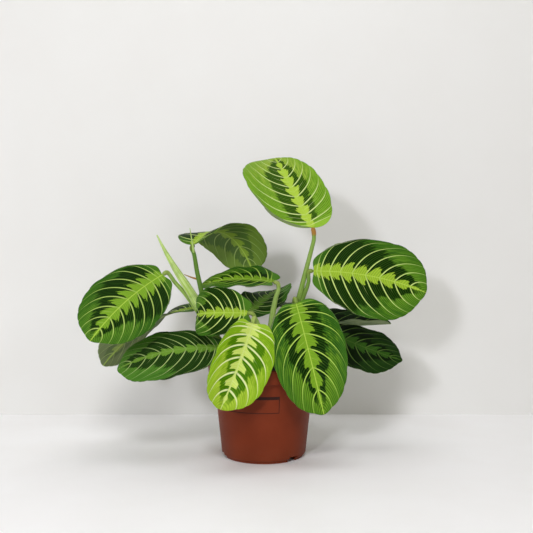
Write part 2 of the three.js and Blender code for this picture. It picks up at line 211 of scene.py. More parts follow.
@dataclass(frozen=True)
class BladeFinish:
    """Colours of one kind of blade, and the shapes of its patches.

    lobe is the feather's width between one side vein and the next, and dark_reach is how far out
    the dark patches go, near the base and near the tip. jag is how ragged the feather's edge is,
    first_dark is the number of the side vein after which the dark patches begin, and rib is how
    strong the fine ribs beside the side veins are.
    """

    feather: str = "#a8c83a"
    dark: str = "#0d2102"
    green: str = "#40701e"
    bright: str = "#699b2a"
    vein: str = "#cfe784"
    midrib: str = "#bcdc56"
    base: str = "#4c7a22"
    under: str = "#7e8e5e"
    under_dark: str = "#5d7244"
    lobe: Stops = ((0.0, 0.36), (0.12, 0.5), (0.32, 0.92), (0.62, 1.06), (0.74, 0.84), (0.86, 0.42),
                   (1.0, 0.34))
    jag: float = 0.36
    dark_reach: Pair = (1.05, 0.74)
    first_dark: float = 1.0
    softness: float = 0.07
    vein_width: float = 0.88
    see_through: float = 0.12
    roughness: float = 0.42
    rib: float = 0.24


class Look(Enum):
    """The kinds of blade on this plant, and a darker copy of the deep one that paints shade on blades in
    shadow.
    """

    DEEP = BladeFinish()
    CALM = BladeFinish(feather="#86b02f", green="#3c6c1e", bright="#62942a", vein="#b9d66c",
                       dark_reach=(0.95, 0.8), softness=0.1,
                       lobe=((0.0, 0.26), (0.12, 0.44), (0.32, 0.92), (0.62, 1.1), (0.74, 0.8),
                             (0.86, 0.32), (1.0, 0.24)))
    LOW = BladeFinish(feather="#759f36", dark="#142808", green="#4a7e28", bright="#629a34",
                      vein="#b6ce7e", midrib="#86a84a", base="#355c22", vein_width=0.75)
    OPEN = BladeFinish(feather="#80aa2a", green="#3c6e1e", bright="#6e9e28", vein="#bcde62",
                       base="#558a28", dark_reach=(0.55, 0.64))
    TOP = BladeFinish(feather="#bada48", dark="#1b4006", green="#84b630", bright="#b0d24a",
                      vein="#dcf09a", base="#98c63c", dark_reach=(0.36, 0.64), vein_width=0.85,
                      see_through=0.2, rib=0.18)
    YOUNG = BladeFinish(feather="#dcee7c", dark="#407602", green="#94c024", bright="#b8d840",
                        vein="#f0fab4", midrib="#dcee90", base="#a4cc38", dark_reach=(0.74, 0.66),
                        first_dark=2.0, softness=0.1, vein_width=1.3, jag=0.14, see_through=0.2,
                        lobe=((0.0, 0.1), (0.24, 0.2), (0.4, 0.94), (0.7, 1.04), (0.8, 0.2),
                              (1.0, 0.1)), rib=0.08)
    # Painted shade: the deep finish made far darker for blades in the shadow of others, not a colour of
    # their own.
    PAINTED_SHADE = BladeFinish(feather="#375e1b", dark="#0b1705", green="#1a350f", bright="#264616",
                        vein="#587534", midrib="#4a6a27", base="#264616", see_through=0.06)
    DROOPING = BladeFinish(under="#70902e", under_dark="#44641e")


STEM_NUMBERS = ("tint", "left_over", "round", "along", "warm")
BLADE_NUMBERS = ("row", "lateral", "reach", "spacing", "pairs", "seed", "feather")


@dataclass(frozen=True)
class PatternLaw:
    """Numbers that the patterns of all blades share.

    Places along a blade run from 0 at its base to 1 at its tip, places between two side veins from
    0 to 1, and places outward from 0 at the midrib to 1 at the margin. Widths are millimetres. A
    step is where a smooth step starts and ends, and then its two results where they aren't 0 and
    1. A slope is a factor and what is added to the product. A relief is its depth in millimetres
    and how much of it shows.
    """

    cell_seed: float = 3.7
    lobe_middle: float = 0.85
    lobe_step: Step = (0.05, 0.4, 0.35, 1.0)
    teeth: float = 4.0
    tooth_lean: float = 0.8
    tooth_middle: float = 0.9
    feather_taper: Stops = ((0.0, 0.6), (0.25, 1.0), (0.5, 1.0), (0.76, 0.66), (0.88, 0.34), (0.96, 0.02))
    feather_slope: Pair = (0.4, 0.8)
    feather_edge: float = 0.25
    streaks: float = 9.0
    streak_pace: Pair = (0.8, 0.05)
    streak_slope: Pair = (0.46, -0.23)
    patch_slope: Pair = (0.5, -0.25)
    patch_rows: Pair = (0.1, 0.7)
    patch_end: Step = (0.88, 0.97, 1.0, 0.0)
    vein_taper: Stops = ((0.0, 1.0), (0.35, 1.0), (0.75, 0.8), (1.0, 0.4))
    vein_core: float = 0.6
    vein_start: float = 0.5
    vein_end: float = 0.75
    vein_fade: Stops = ((0.0, 0.5), (0.2, 1.0), (0.8, 0.95), (0.93, 0.7), (1.0, 0.1))
    vein_slope: Pair = (-0.4, 1.0)
    first_vein: float = 0.45
    first_step: Step = (0.25, 0.6, 0.8, 0.0)
    thin_vein: float = 0.52
    thin_step: Step = (0.1, 0.34, 1.0, 0.0)
    thin_chance: Pair = (0.53, 0.6)
    thin_reach: Pair = (0.6, 0.35)
    thin_strength: float = 0.6
    midrib_step: Step = (0.3, 0.7, 1.0, 0.0)
    line_pace: Pair = (1.3, 0.07)
    ribs: int = 6
    rib_middle: float = 0.24
    line_grain: float = 0.56
    wobble_pace: float = 0.1
    lively_slope: Pair = (0.8, 0.42)
    lively_step: Pair = (0.3, 0.7)
    outer_lines: Step = (0.38, 0.75, 0.0, 0.6)
    rim_step: Step = (0.82, 1.0, 0.0, 0.45)
    base_step: Step = (0.25, 0.75, 1.0, 0.0)
    feather_lines: Step = (0.4, 0.7, 0.0, 0.5)
    patch_lines: Step = (0.4, 0.75, 0.0, 0.4)
    midrib_share: float = 0.8
    grain_scale: float = 2.2
    grain_step: Step = (0.3, 0.8, 0.0, 0.16)
    rough_step: Pair = (0.3, 0.7)
    rough_spread: Pair = (-0.05, 0.09)
    line_relief: Pair = (0.25, 0.6)
    vein_relief: Pair = (0.25, 0.5)
    upper_gloss: float = 0.03
    under_patch: float = 0.75
    under_lines: float = 0.3
    under_shares: Step = (0.32, 0.42, 0.55)
    under_relief: Pair = (0.5, 0.7)
    under_roughness: float = 0.6
    under_gloss: float = 0.3


class BladePattern:
    """The masks of one blade's pattern, worked out from the numbers stored on its mesh."""

    law = PatternLaw()

    def __init__(self, graph: Graph, finish: BladeFinish) -> None:
        """Reads the numbers, and works out the places that the masks share.

        Args:
            graph: The material's node tree.
            finish: The blade's finish.
        """
        self.graph, self.finish = graph, finish
        add, law = graph.add, self.law
        numbers = [add("Attribute", attribute_name=name, out="Fac") for name in BLADE_NUMBERS]
        self.row, self.lateral, reach, self.spacing, self.pairs, self.seed, self.feather_width = numbers
        self.interval = add("Math.MULTIPLY", self.row, add("Math.ADD", self.pairs, 1.0))
        self.part = add("Math.FRACT", self.interval)
        self.cell = add("Math.FLOOR", self.interval)
        self.outward = add("Math.DIVIDE", self.lateral, reach)
        cell_seed = add("Math.ADD", add("Math.MULTIPLY", self.cell, law.cell_seed), self.seed)
        place = add("CombineXYZ", cell_seed, self.seed)
        self.chance = add("TexNoise", {"Vector": place, "Scale": 1.0, "Detail": 0.0})

    def feather(self) -> NodeSocket:
        """Masks the pale feather along the midrib, with its lobes and ragged teeth.

        Returns:
            The mask.
        """
        add, law, finish = self.graph.add, self.law, self.finish
        lobe = add("Math.SUBTRACT", add("ValToRGB", self.part, stops=finish.lobe), law.lobe_middle)
        growth = add("MapRange", self.row, *law.lobe_step, **SMOOTH)
        lobe = add("Math.MULTIPLY_ADD", lobe, growth, law.lobe_middle)
        teeth = add("Math.MULTIPLY", self.interval, law.teeth)
        step = add("CombineXYZ", add("Math.FLOOR", teeth), self.seed)
        tooth = add("TexWhiteNoise", {"Vector": step}, out="Value")
        tooth = add("Math.MULTIPLY_ADD", add("Math.FRACT", teeth), law.tooth_lean, tooth)
        width = add("Math.ADD", lobe, add("Math.MULTIPLY_ADD", tooth, finish.jag,
                                          -law.tooth_middle * finish.jag))
        for share in (add("ValToRGB", self.row, stops=law.feather_taper), self.feather_width,
                      add("Math.MULTIPLY_ADD", self.chance, *law.feather_slope)):
            width = add("Math.MULTIPLY", width, share)
        edge = add("Math.ADD", width, law.feather_edge)
        return add("MapRange", self.lateral, width, edge, 1.0, 0.0, **SMOOTH)

    def patch(self, feather: NodeSocket) -> NodeSocket:
        """Masks the dark patches between the side veins, which end in streaks.

        Args:
            feather: The feather's mask, which lies over them.

        Returns:
            The mask.
        """
        add, law, finish = self.graph.add, self.law, self.finish
        finger = add("Math.FLOOR", add("Math.MULTIPLY", self.interval, law.streaks))
        along, outward = [add("Math.MULTIPLY", value, pace)
                          for value, pace in zip((finger, self.lateral), law.streak_pace)]
        place = add("CombineXYZ", along, outward, self.seed)
        streaks = add("TexNoise", {"Vector": place, "Scale": 1.0, "Detail": 3.0, "Roughness": 0.6})
        shift = add("Math.ADD", add("Math.MULTIPLY_ADD", streaks, *law.streak_slope),
                    add("Math.MULTIPLY_ADD", self.chance, *law.patch_slope))
        reach = add("MapRange", self.row, *law.patch_rows, *finish.dark_reach, **SMOOTH)
        far = add("Math.ADD", shift, reach)
        near = add("Math.SUBTRACT", far, finish.softness)
        patch = add("MapRange", self.outward, near, far, 1.0, 0.0, **SMOOTH)
        for limit in (add("Math.GREATER_THAN", self.interval, finish.first_dark),
                      add("MapRange", self.row, *law.patch_end, **SMOOTH),
                      add("Math.SUBTRACT", 1.0, feather)):
            patch = add("Math.MULTIPLY", patch, limit)
        return patch

    def near(self, place: NodeSocket, middle: float, step: Step) -> NodeSocket:
        """Masks a narrow line along the side veins' direction.

        Args:
            place: The place along the blade, in side veins.
            middle: The line's place.
            step: The smooth step of the distance from it in millimetres.

        Returns:
            The mask.
        """
        add = self.graph.add
        away = add("Math.ABSOLUTE", add("Math.SUBTRACT", place, middle))
        return add("MapRange", add("Math.MULTIPLY", away, self.spacing), *step, **SMOOTH)

    def veins(self, feather: NodeSocket) -> NodeSocket:
        """Masks the side veins: the main ones, a short first one and a few thin ones between them.

        Args:
            feather: The feather's mask, which veils them.

        Returns:
            The mask.
        """
        add, law = self.graph.add, self.law
        half = add("Math.MINIMUM", self.part, add("Math.SUBTRACT", 1.0, self.part))
        distance = add("Math.MULTIPLY", half, self.spacing)
        taper = add("ValToRGB", self.outward, stops=law.vein_taper)
        thickness = add("Math.MULTIPLY", taper, self.finish.vein_width)
        core = add("Math.MULTIPLY", thickness, law.vein_core)
        vein = add("MapRange", distance, core, thickness, 1.0, 0.0, **SMOOTH)
        past = add("Math.GREATER_THAN", self.interval, law.vein_start)
        last = add("Math.ADD", self.pairs, law.vein_end)
        inside = add("Math.MULTIPLY", past, add("Math.LESS_THAN", self.interval, last))
        fade = add("ValToRGB", self.outward, stops=law.vein_fade)
        for share in (inside, fade, add("Math.MULTIPLY_ADD", feather, *law.vein_slope)):
            vein = add("Math.MULTIPLY", vein, share)
        first = self.near(self.interval, law.first_vein, law.first_step)
        thin = self.near(self.part, law.thin_vein, law.thin_step)
        for share in (add("MapRange", self.chance, *law.thin_chance, **SMOOTH),
                      add("MapRange", self.outward, *law.thin_reach, **SMOOTH),
                      add("Math.MULTIPLY", inside, law.thin_strength)):
            thin = add("Math.MULTIPLY", thin, share)
        vein = add("Math.MAXIMUM", vein, add("Math.MULTIPLY", first, fade))
        return add("Math.MAXIMUM", vein, thin)

    def midrib(self) -> NodeSocket:
        """Masks the midrib."""
        return self.graph.add("MapRange", self.lateral, *self.law.midrib_step, **SMOOTH)

    def lines(self) -> NodeSocket:
        """Makes the fine lines that run beside the side veins.

        Returns:
            Their value, from 0 to 1.
        """
        add, law = self.graph.add, self.law
        across = add("Math.MULTIPLY", add("Math.MULTIPLY", self.part, self.spacing), law.line_pace[0])
        slow = add("Math.MULTIPLY", self.lateral, law.line_pace[1])
        place = add("CombineXYZ", across, slow, add("Math.ADD", self.cell, self.seed))
        grain = add("TexNoise", {"Vector": place, "Scale": 1.0, "Detail": 2.0, "Roughness": 0.7})
        rib = add("Math.SINE", add("Math.MULTIPLY", self.part, 2 * math.pi * law.ribs))
        rib = add("Math.MULTIPLY_ADD", rib, self.finish.rib, law.rib_middle)
        return add("Math.MULTIPLY_ADD", grain, law.line_grain, rib)

    def lively(self) -> NodeSocket:
        """Makes the value by which the outer green is dark or bright.

        Returns:
            The value, which rises toward the tip.
        """
        add, law = self.graph.add, self.law
        slow = add("Math.MULTIPLY", self.lateral, law.wobble_pace)
        place = add("CombineXYZ", self.interval, slow, self.seed)
        wobble = add("TexNoise", {"Vector": place, "Scale": 3.0, "Detail": 2.0})
        factor, less = law.lively_slope
        return add("Math.MULTIPLY_ADD", self.row, factor, add("Math.SUBTRACT", wobble, less))


class BladeMaterial:
    """The two faces of one kind of blade.

    It is living leaf skin, grown thin: satin with hardly any gloss, and light shines through it a
    little, so that the blades look soft and lit from within.
    """

    def __init__(self, look: Look) -> None:
        """Keeps the finish and the name.

        Args:
            look: The kind of blade.
        """
        self.finish: BladeFinish = look.value
        self.name = look.name.lower()

    def upper(self) -> Material:
        """Makes the upper face, where the pattern is crisp.

        Returns:
            The material.
        """
        finish, law = self.finish, BladePattern.law
        graph = Graph(f"living_leaf_{self.name}_upper")
        add = graph.add
        pattern = BladePattern(graph, finish)
        lines, feather, midrib = pattern.lines(), pattern.feather(), pattern.midrib()
        vein = pattern.veins(feather)
        grain = add("TexNoise", {"Vector": graph.place(), "Scale": law.grain_scale, "Detail": 3.0})
        outer = graph.lay(
            finish.green,
            (pattern.lively(), finish.bright, law.lively_step),
            (lines, finish.dark, law.outer_lines),
            (pattern.outward, finish.green, law.rim_step),
            (pattern.interval, finish.base, law.base_step))
        pale = graph.lay(finish.feather,
                         (lines, finish.bright, law.feather_lines))
        dark = graph.lay(finish.dark,
                         (lines, finish.green, law.patch_lines))
        colour = graph.lay(
            outer, (pattern.patch(feather), dark), (feather, pale), (vein, finish.vein),
            (add("Math.MULTIPLY", midrib, law.midrib_share), finish.midrib),
            (grain, finish.dark, law.grain_step))
        relief = graph.relief((lines, *law.line_relief),
                              (add("Math.MAXIMUM", vein, midrib), *law.vein_relief))
        roughness = [finish.roughness + change for change in law.rough_spread]
        rough = add("MapRange", grain, *law.rough_step, *roughness, **SMOOTH)
        inputs = {"Base Color": colour, "Roughness": rough, "Normal": relief,
                  "Specular IOR Level": law.upper_gloss}
        return graph.finish(inputs, colour, finish.see_through)

    def lower(self) -> Material:
        """Makes the lower face, where the pattern shows through faintly.

        Returns:
            The material.
        """
        finish, law = self.finish, BladePattern.law
        graph = Graph(f"living_leaf_{self.name}_lower")
        add = graph.add
        pattern = BladePattern(graph, finish)
        feather, midrib = pattern.feather(), pattern.midrib()
        patch, vein = pattern.patch(feather), pattern.veins(feather)
        faint = add("Math.MULTIPLY", pattern.lines(), law.under_lines)
        masks = [add("Math.MULTIPLY", mask, share)
                 for mask, share in zip((feather, vein, midrib), law.under_shares)]
        colour = graph.lay(finish.under,
                           (add("Math.MULTIPLY_ADD", patch, law.under_patch, faint), finish.under_dark),
                           *zip(masks, (finish.feather, finish.vein, finish.midrib)))
        relief = graph.relief((add("Math.MAXIMUM", vein, midrib), *law.under_relief))
        inputs = {"Base Color": colour, "Roughness": law.under_roughness, "Normal": relief,
                  "Specular IOR Level": law.under_gloss}
        return graph.finish(inputs, colour, finish.see_through)


@dataclass(frozen=True)
class BladeLaw:
    """Numbers that shape every blade, the same as in the frame's solids."""

    thickness: float = 0.6
    vein_lean: float = 0.28
    vein_rise: float = 0.93
    notch_span: float = 0.7
    tip_span: float = 0.16
    midrib_ease: float = 0.06
    midrib_power: float = 3.0
    quilt: float = 0.6
    pinch: float = 0.7
    pinch_powers: tuple[int, int] = (4, 6)
    probe: float = 0.004
    side_seed: float = 11.3
    least_reach: float = 0.5
    least_span: float = 1e-4
    weld: float = 0.02
    steps: int = 48
    rows: int = 96
    columns: int = 44


@dataclass(frozen=True)
class Leaf:
    """One blade as a fine mesh, with the same form as its solid in the frame.

    heading, pitch and roll turn it, bend, swing and twist curve its midrib, and fold and curl lift
    its halves. share is the left half's width, where 1 is half of the whole, and pairs is how many
    side veins each half has.
    """

    name: str
    base: Point
    length: float
    width: float
    heading: float
    pitch: float
    roll: float = 0
    bend: float = 0
    bend_power: float = 1
    swing: float = 0
    twist: float = 0
    fold: Pair = (8, 8)
    curl: float = 0
    wave: float = 1.2
    waves: float = 3
    share: float = 1
    egg: float = 0
    skew: float = 0
    notch: float = 5.5
    tip: float = 3
    roundness: float = 0.88
    spread: float = 0.48
    pairs: int = 8
    look: Look = Look.DEEP
    feather: float = 9.5
    law = BladeLaw()

    @property
    def full(self) -> float:
        """Gives the midrib's length."""
        return self.length + self.tip

    @cached_property
    def frames(self) -> list[tuple[Vector, Vector, Vector, Vector]]:
        """Lays the midrib as a chain of frames.

        Returns:
            For each step the place, and the directions along, left and up.
        """
        heading, pitch = math.radians(self.heading), math.radians(self.pitch)
        level = Vector((math.cos(heading), math.sin(heading), 0)) * math.cos(pitch)
        along = level + Vector((0, 0, math.sin(pitch)))
        left = Vector((-math.sin(heading), math.cos(heading), 0))
        left.rotate(Matrix.Rotation(math.radians(self.roll), 3, along))
        up = along.cross(left)
        place = Vector(self.base)
        frames = [(place.copy(), along.copy(), left.copy(), up.copy())]
        steps = self.law.steps
        for i in range(steps):
            bent = ((i + 1) / steps) ** self.bend_power - (i / steps) ** self.bend_power
            along.rotate(Matrix.Rotation(math.radians(-self.bend * bent), 3, left))
            up = along.cross(left)
            along.rotate(Matrix.Rotation(math.radians(self.swing / steps), 3, up))
            left = up.cross(along)
            left.rotate(Matrix.Rotation(math.radians(self.twist / steps), 3, along))
            up = along.cross(left)
            place = place + along * (self.full / steps)
            frames.append((place.copy(), along.copy(), left.copy(), up.copy()))
        return frames

    def frame_at(self, distance: float) -> tuple[Vector, Vector, Vector]:
        """Finds the frame at a distance along the midrib.

        Args:
            distance: Millimetres from the base, which may be a little below zero.

        Returns:
            The place, and the directions left and up.
        """
        place = distance / self.full * self.law.steps
        if place < 0:
            start, along, left, up = self.frames[0]
            return start + along * distance, left, up
        index = min(int(place), self.law.steps - 1)
        part = place - index
        first, second = self.frames[index], self.frames[index + 1]
        mixed = [a + (b - a) * part for a, b in zip(first, second)]
        return mixed[0], mixed[2], mixed[3]

    def flat(self, row: float, out: float, side: int) -> Point:
        """Finds a point of the flat blade.

        Args:
            row: The side vein's place, from 0 at the base to 1 at the tip.
            out: From 0 at the midrib to 1 at the margin.
            side: 1 on the left half, -1 on the right.

        Returns:
            The distance along the midrib, the distance from it, and the margin's distance from it.
        """
        law = self.law
        phase = math.pi * row
        margin_x = self.length / 2 * (1 - math.cos(phase))
        if phase < law.notch_span:
            margin_x -= self.notch * math.sin(math.pi * phase / law.notch_span) ** 2
        margin_x += self.tip * math.exp(-((math.pi - phase) / law.tip_span) ** 2)
        half = self.width / 2 * (self.share if side > 0 else 2 - self.share)
        fullness = max(math.sin(phase), 0) ** self.roundness
        margin_y = half * fullness * (1 - self.egg * math.cos(phase))
        margin_x += self.skew * side * margin_y
        midrib_x = self.full * blend(row ** law.midrib_power, row, law.midrib_ease)
        a, b, c = (1 - out) ** 2, 2 * out * (1 - out), out ** 2
        x = a * midrib_x + b * (midrib_x + law.vein_lean * (margin_x - midrib_x)) + c * margin_x
        return x, b * law.vein_rise * margin_y + c * margin_y, margin_y

    def point(self, row: float, across: float) -> tuple[Vector, float, float]:
        """Finds a point of the blade's upper face.

        Args:
            row: The side vein's place, from 0 to 1.
            across: From -1 at the right margin to 1 at the left one.

        Returns:
            The point, its distance from the midrib, and the margin's.
        """
        law = self.law
        side = -1 if across < 0 else 1
        out = abs(across)
        x, y, margin = self.flat(row, out, side)
        place, left, up = self.frame_at(x)
        half = self.width / 2
        fold = math.radians(self.fold[0] if side > 0 else self.fold[1])
        middle = fold + math.radians(self.curl) * y / half / 2
        turn = 2 * math.pi * (self.waves * x / self.length + (0 if side > 0 else 0.5))
        wave = self.wave * (y / half) ** 2 * math.sin(turn)
        interval = row ** (1 / self.spread) * (self.pairs + 1)
        inward, between = law.pinch_powers
        y = max(y - law.pinch * out ** inward * math.cos(math.pi * interval) ** between, 0.0)
        swell = math.sin(math.pi * (interval % 1)) * min(1, 4 * out * (1 - out))
        lift = y * math.sin(middle) + wave + law.quilt * swell
        return place + left * (side * y * math.cos(middle)) + up * lift, y, margin

    def build(self, materials: tuple[Material, Material], seed: float) -> Object:
        """Makes the blade's object.

        Args:
            materials: The upper and the lower face's.
            seed: A number that sets its pattern apart.

        Returns:
            The object.
        """
        law = self.law
        mesh = bmesh.new()
        layers = [mesh.verts.layers.float.new(name) for name in BLADE_NUMBERS]
        bmesh.ops.create_grid(mesh, x_segments=law.rows, y_segments=law.columns, size=1)
        for vert in mesh.verts:
            self.shape_vert(vert, layers, seed)
        bmesh.ops.remove_doubles(mesh, verts=mesh.verts[:], dist=law.weld * MM)
        up = self.frames[law.steps // 2][3]
        if sum(face.normal.dot(up) for face in mesh.faces) < 0:
            bmesh.ops.reverse_faces(mesh, faces=mesh.faces[:])
        thicken(mesh, law.thickness * MM)
        return to_object(mesh, self.name + "_blade", materials)

    def shape_vert(self, vert: BMVert, layers: list[BMLayerItem], seed: float) -> None:
        """Moves one vertex of the grid to its place and stores the pattern's numbers on it.

        Args:
            vert: The vertex, whose X and Y run from -1 to 1.
            layers: The attribute layers, in the order of BLADE_NUMBERS.
            seed: A number that sets the blade's pattern apart.
        """
        law = self.law
        row = min(max((vert.co.x + 1) / 2, 0.0), 1.0)
        across = vert.co.y
        place, lateral, reach = self.point(row, across)
        low, high = max(row - law.probe, 0.0), min(row + law.probe, 1.0)
        span = (high ** (1 / self.spread) - low ** (1 / self.spread)) * (self.pairs + 1)
        stretch = (self.point(high, across)[0] - self.point(low, across)[0]).length
        numbers = (row ** (1 / self.spread), lateral, max(reach, law.least_reach),
                   stretch / max(span, law.least_span), self.pairs,
                   seed + (law.side_seed if across < 0 else 0.0), self.feather)
        for layer, number in zip(layers, numbers):
            vert[layer] = number
        vert.co = place * MM


LEAVES = (
    Leaf("leaf_top", (51, -15, 243), 112, 78, 155, 61, -61, bend=-57, bend_power=1.7, swing=-7.5,
         fold=(6, -3), curl=8, share=1.13, egg=-0.04, skew=0.47, notch=0, look=Look.TOP, feather=6.5),
    Leaf("leaf_right", (53, -10, 197), 122, 90, 4, 1, 65, bend=-10, swing=-21, fold=(9, 0),
         share=0.93, egg=0.16, skew=0.08, notch=3.7, feather=11),
    Leaf("leaf_front_right", (34, -20, 163), 119, 77, -75, -45, 22, bend=-40, swing=-4, twist=5,
         fold=(8, 20), egg=-0.03, skew=-0.09, notch=2.5, roundness=0.92, spread=0.6, pairs=7,
         look=Look.OPEN, feather=11),
    Leaf("leaf_front_young", (-11, -45, 144), 92, 61, -111, -49, -39, bend=-25, twist=-9,
         fold=(18, 11), share=1.07, egg=0.06, skew=-0.12, notch=3, roundness=0.66, spread=0.55,
         pairs=6, look=Look.YOUNG, feather=11),
    Leaf("leaf_centre_small", (-17, -38, 154), 70, 52, 182, 2, -80, bend=-90, bend_power=1.6,
         share=0.96, skew=0.1, pairs=6, feather=5.5),
    Leaf("leaf_left", (-109, 0, 193), 107, 79, 219, -26, -50, bend=-8, swing=21, fold=(8, 2),
         share=1.06, egg=0.08, notch=4, look=Look.CALM, feather=13),
    Leaf("leaf_low_left", (-44, -20, 117), 109, 74, 192, 2, -42, bend=-34, bend_power=1.8, swing=12,
         fold=(4, -14), egg=0.08, look=Look.LOW, feather=6.5),
    Leaf("leaf_left_behind", (-79, 30, 155), 120, 71, 178, -8, -15, bend=-50, twist=64, fold=(6, 6)),
    Leaf("leaf_back_left", (-77, 14, 226), 122, 80, 60, 43, -2, bend=-130, bend_power=1.1, swing=-7,
         twist=-20, fold=(4, 9), share=1.18, egg=0.2, skew=-0.1, notch=0, look=Look.DROOPING),
    Leaf("leaf_centre_back", (10, 10, 185), 81, 60, 174, 12, -12, bend=-30, twist=5, fold=(-5, 18),
         egg=-0.1, skew=0.22, pairs=7, look=Look.OPEN, feather=8),
    Leaf("leaf_centre_dark", (-16, 10, 153), 84, 52, 58, 24, 35, bend=-15, twist=-60, fold=(6, 6),
         egg=-0.1, pairs=7, look=Look.LOW, feather=6),
    # The four blades below lie in the shadow of others and wear the darker finish that paints that shade.
    Leaf("leaf_low_right", (58, 5, 136), 96, 64, -1, -25, 40, bend=5, swing=5, twist=3, fold=(-1, 0),
         share=0.94, egg=0.25, skew=0.18, notch=2, roundness=1.15, look=Look.PAINTED_SHADE),
    Leaf("leaf_right_folded", (38, 68, 129), 108, 60, 0, 3, fold=(40, 18), pairs=7, look=Look.PAINTED_SHADE),
    Leaf("leaf_back", (22, 28, 157), 96, 64, 84, 4, 4, bend=-20, bend_power=2, fold=(4, 4), pairs=7,
         look=Look.PAINTED_SHADE),
    Leaf("leaf_low_back", (-30, 22, 118), 92, 60, 102, 5, bend=-65, fold=(5, 5), pairs=7,
         look=Look.PAINTED_SHADE),
)


def thicken(mesh: BMesh, thickness: float) -> None:
    """Gives an open sheet a lower face and a margin, both in the second material.

    Args:
        mesh: The sheet, whose faces look out of its upper side.
        thickness: How far below the upper face the lower one lies, in metres.
    """
    mesh.normal_update()
    rim = [edge for edge in mesh.edges if edge.is_boundary]
    offsets = {vert: vert.normal * thickness for vert in mesh.verts}
    copy = bmesh.ops.duplicate(mesh, geom=mesh.verts[:] + mesh.edges[:] + mesh.faces[:])
    lower = [item for item in copy["geom"] if isinstance(item, BMFace)]
    twins = {vert: copy["vert_map"][vert] for vert in offsets}
    for vert, offset in offsets.items():
        twins[vert].co = vert.co - offset
    bmesh.ops.reverse_faces(mesh, faces=lower)
    for edge in rim:
        loop = edge.link_loops[0]
        first, second = loop.vert, loop.link_loop_next.vert
        lower.append(mesh.faces.new((second, first, twins[first], twins[second])))
    for face in mesh.faces:
        face.smooth = True
    for face in lower:
        face.material_index = 1


def bridge(mesh: BMesh, rings: list[list[BMVert]], inward: bool = False) -> None:
    """Joins rings of vertices, each to the next, with smooth faces.

    Args:
        mesh: The mesh.
        rings: The rings in order, which turn left as seen from past the last one.
        inward: Whether the faces look the other way from a tube's, as a mound's do whose rings widen.
    """
    for low, high in zip(rings, rings[1:]):
        for k in range(len(low)):
            corners = (low[k - 1], low[k], high[k], high[k - 1])
            mesh.faces.new(corners[:1] + corners[:0:-1] if inward else corners).smooth = True


def to_object(mesh: BMesh, name: str, materials: tuple[Material, ...]) -> Object:
    """Turns a mesh into an object of the scene that rides on the frame.

    Args:
        mesh: The mesh, which is freed.
        name: The object's name.
        materials: Its materials in order.

    Returns:
        The object.
    """
    data = bpy.data.meshes.new(name)
    mesh.to_mesh(data)
    mesh.free()
    piece = bpy.data.objects.new(name, data)
    bpy.context.scene.collection.objects.link(piece)
    for material in materials:
        data.materials.append(material)
    return piece


@dataclass(frozen=True)
class Stem:
    """One stem: its route, its radii from first point to last, and the blade it carries, if any."""

    points: tuple[Point, ...]
    radii: Step
    leaf: str = ""
    reach: float = 5.0
    tint: float = 0.5
    warm: float = 0.15


def smooth_route(points: list[Vector], steps: int, fine: int = 24) -> list[Vector]:
    """Runs a centripetal curve through points and spaces places evenly along it.

    Args:
        points: The points in order.
        steps: How many stretches the curve is cut into.
        fine: How many places are laid between two points before that.

    Returns:
        The evenly spaced places, ends included.
    """
    ends = [points[0] * 2 - points[1], *points, points[-1] * 2 - points[-2]]
    dense = []
    for i in range(1, len(ends) - 2):
        p0, p1, p2, p3 = ends[i - 1:i + 3]
        t0, t1, t2 = [max((b - a).length ** 0.5, TINY) for a, b in ((p0, p1), (p1, p2), (p2, p3))]
        m1 = ((p1 - p0) / t0 - (p2 - p0) / (t0 + t1) + (p2 - p1) / t1) * t1
        m2 = ((p2 - p1) / t1 - (p3 - p1) / (t1 + t2) + (p3 - p2) / t2) * t1
        for k in range(fine):
            t = k / fine
            dense.append(p1 * (2 * t ** 3 - 3 * t ** 2 + 1) + m1 * (t ** 3 - 2 * t ** 2 + t)
                         + p2 * (3 * t ** 2 - 2 * t ** 3) + m2 * (t ** 3 - t ** 2))
    dense.append(points[-1].copy())
    lengths = [0.0]
    for a, b in zip(dense, dense[1:]):
        lengths.append(lengths[-1] + (b - a).length)
    places, index = [], 0
    for step in range(steps + 1):
        wanted = lengths[-1] * step / steps
        while index < len(dense) - 2 and lengths[index + 1] < wanted:
            index += 1
        part = (wanted - lengths[index]) / max(lengths[index + 1] - lengths[index], TINY)
        places.append(dense[index].lerp(dense[index + 1], min(part, 1.0)))
    return places


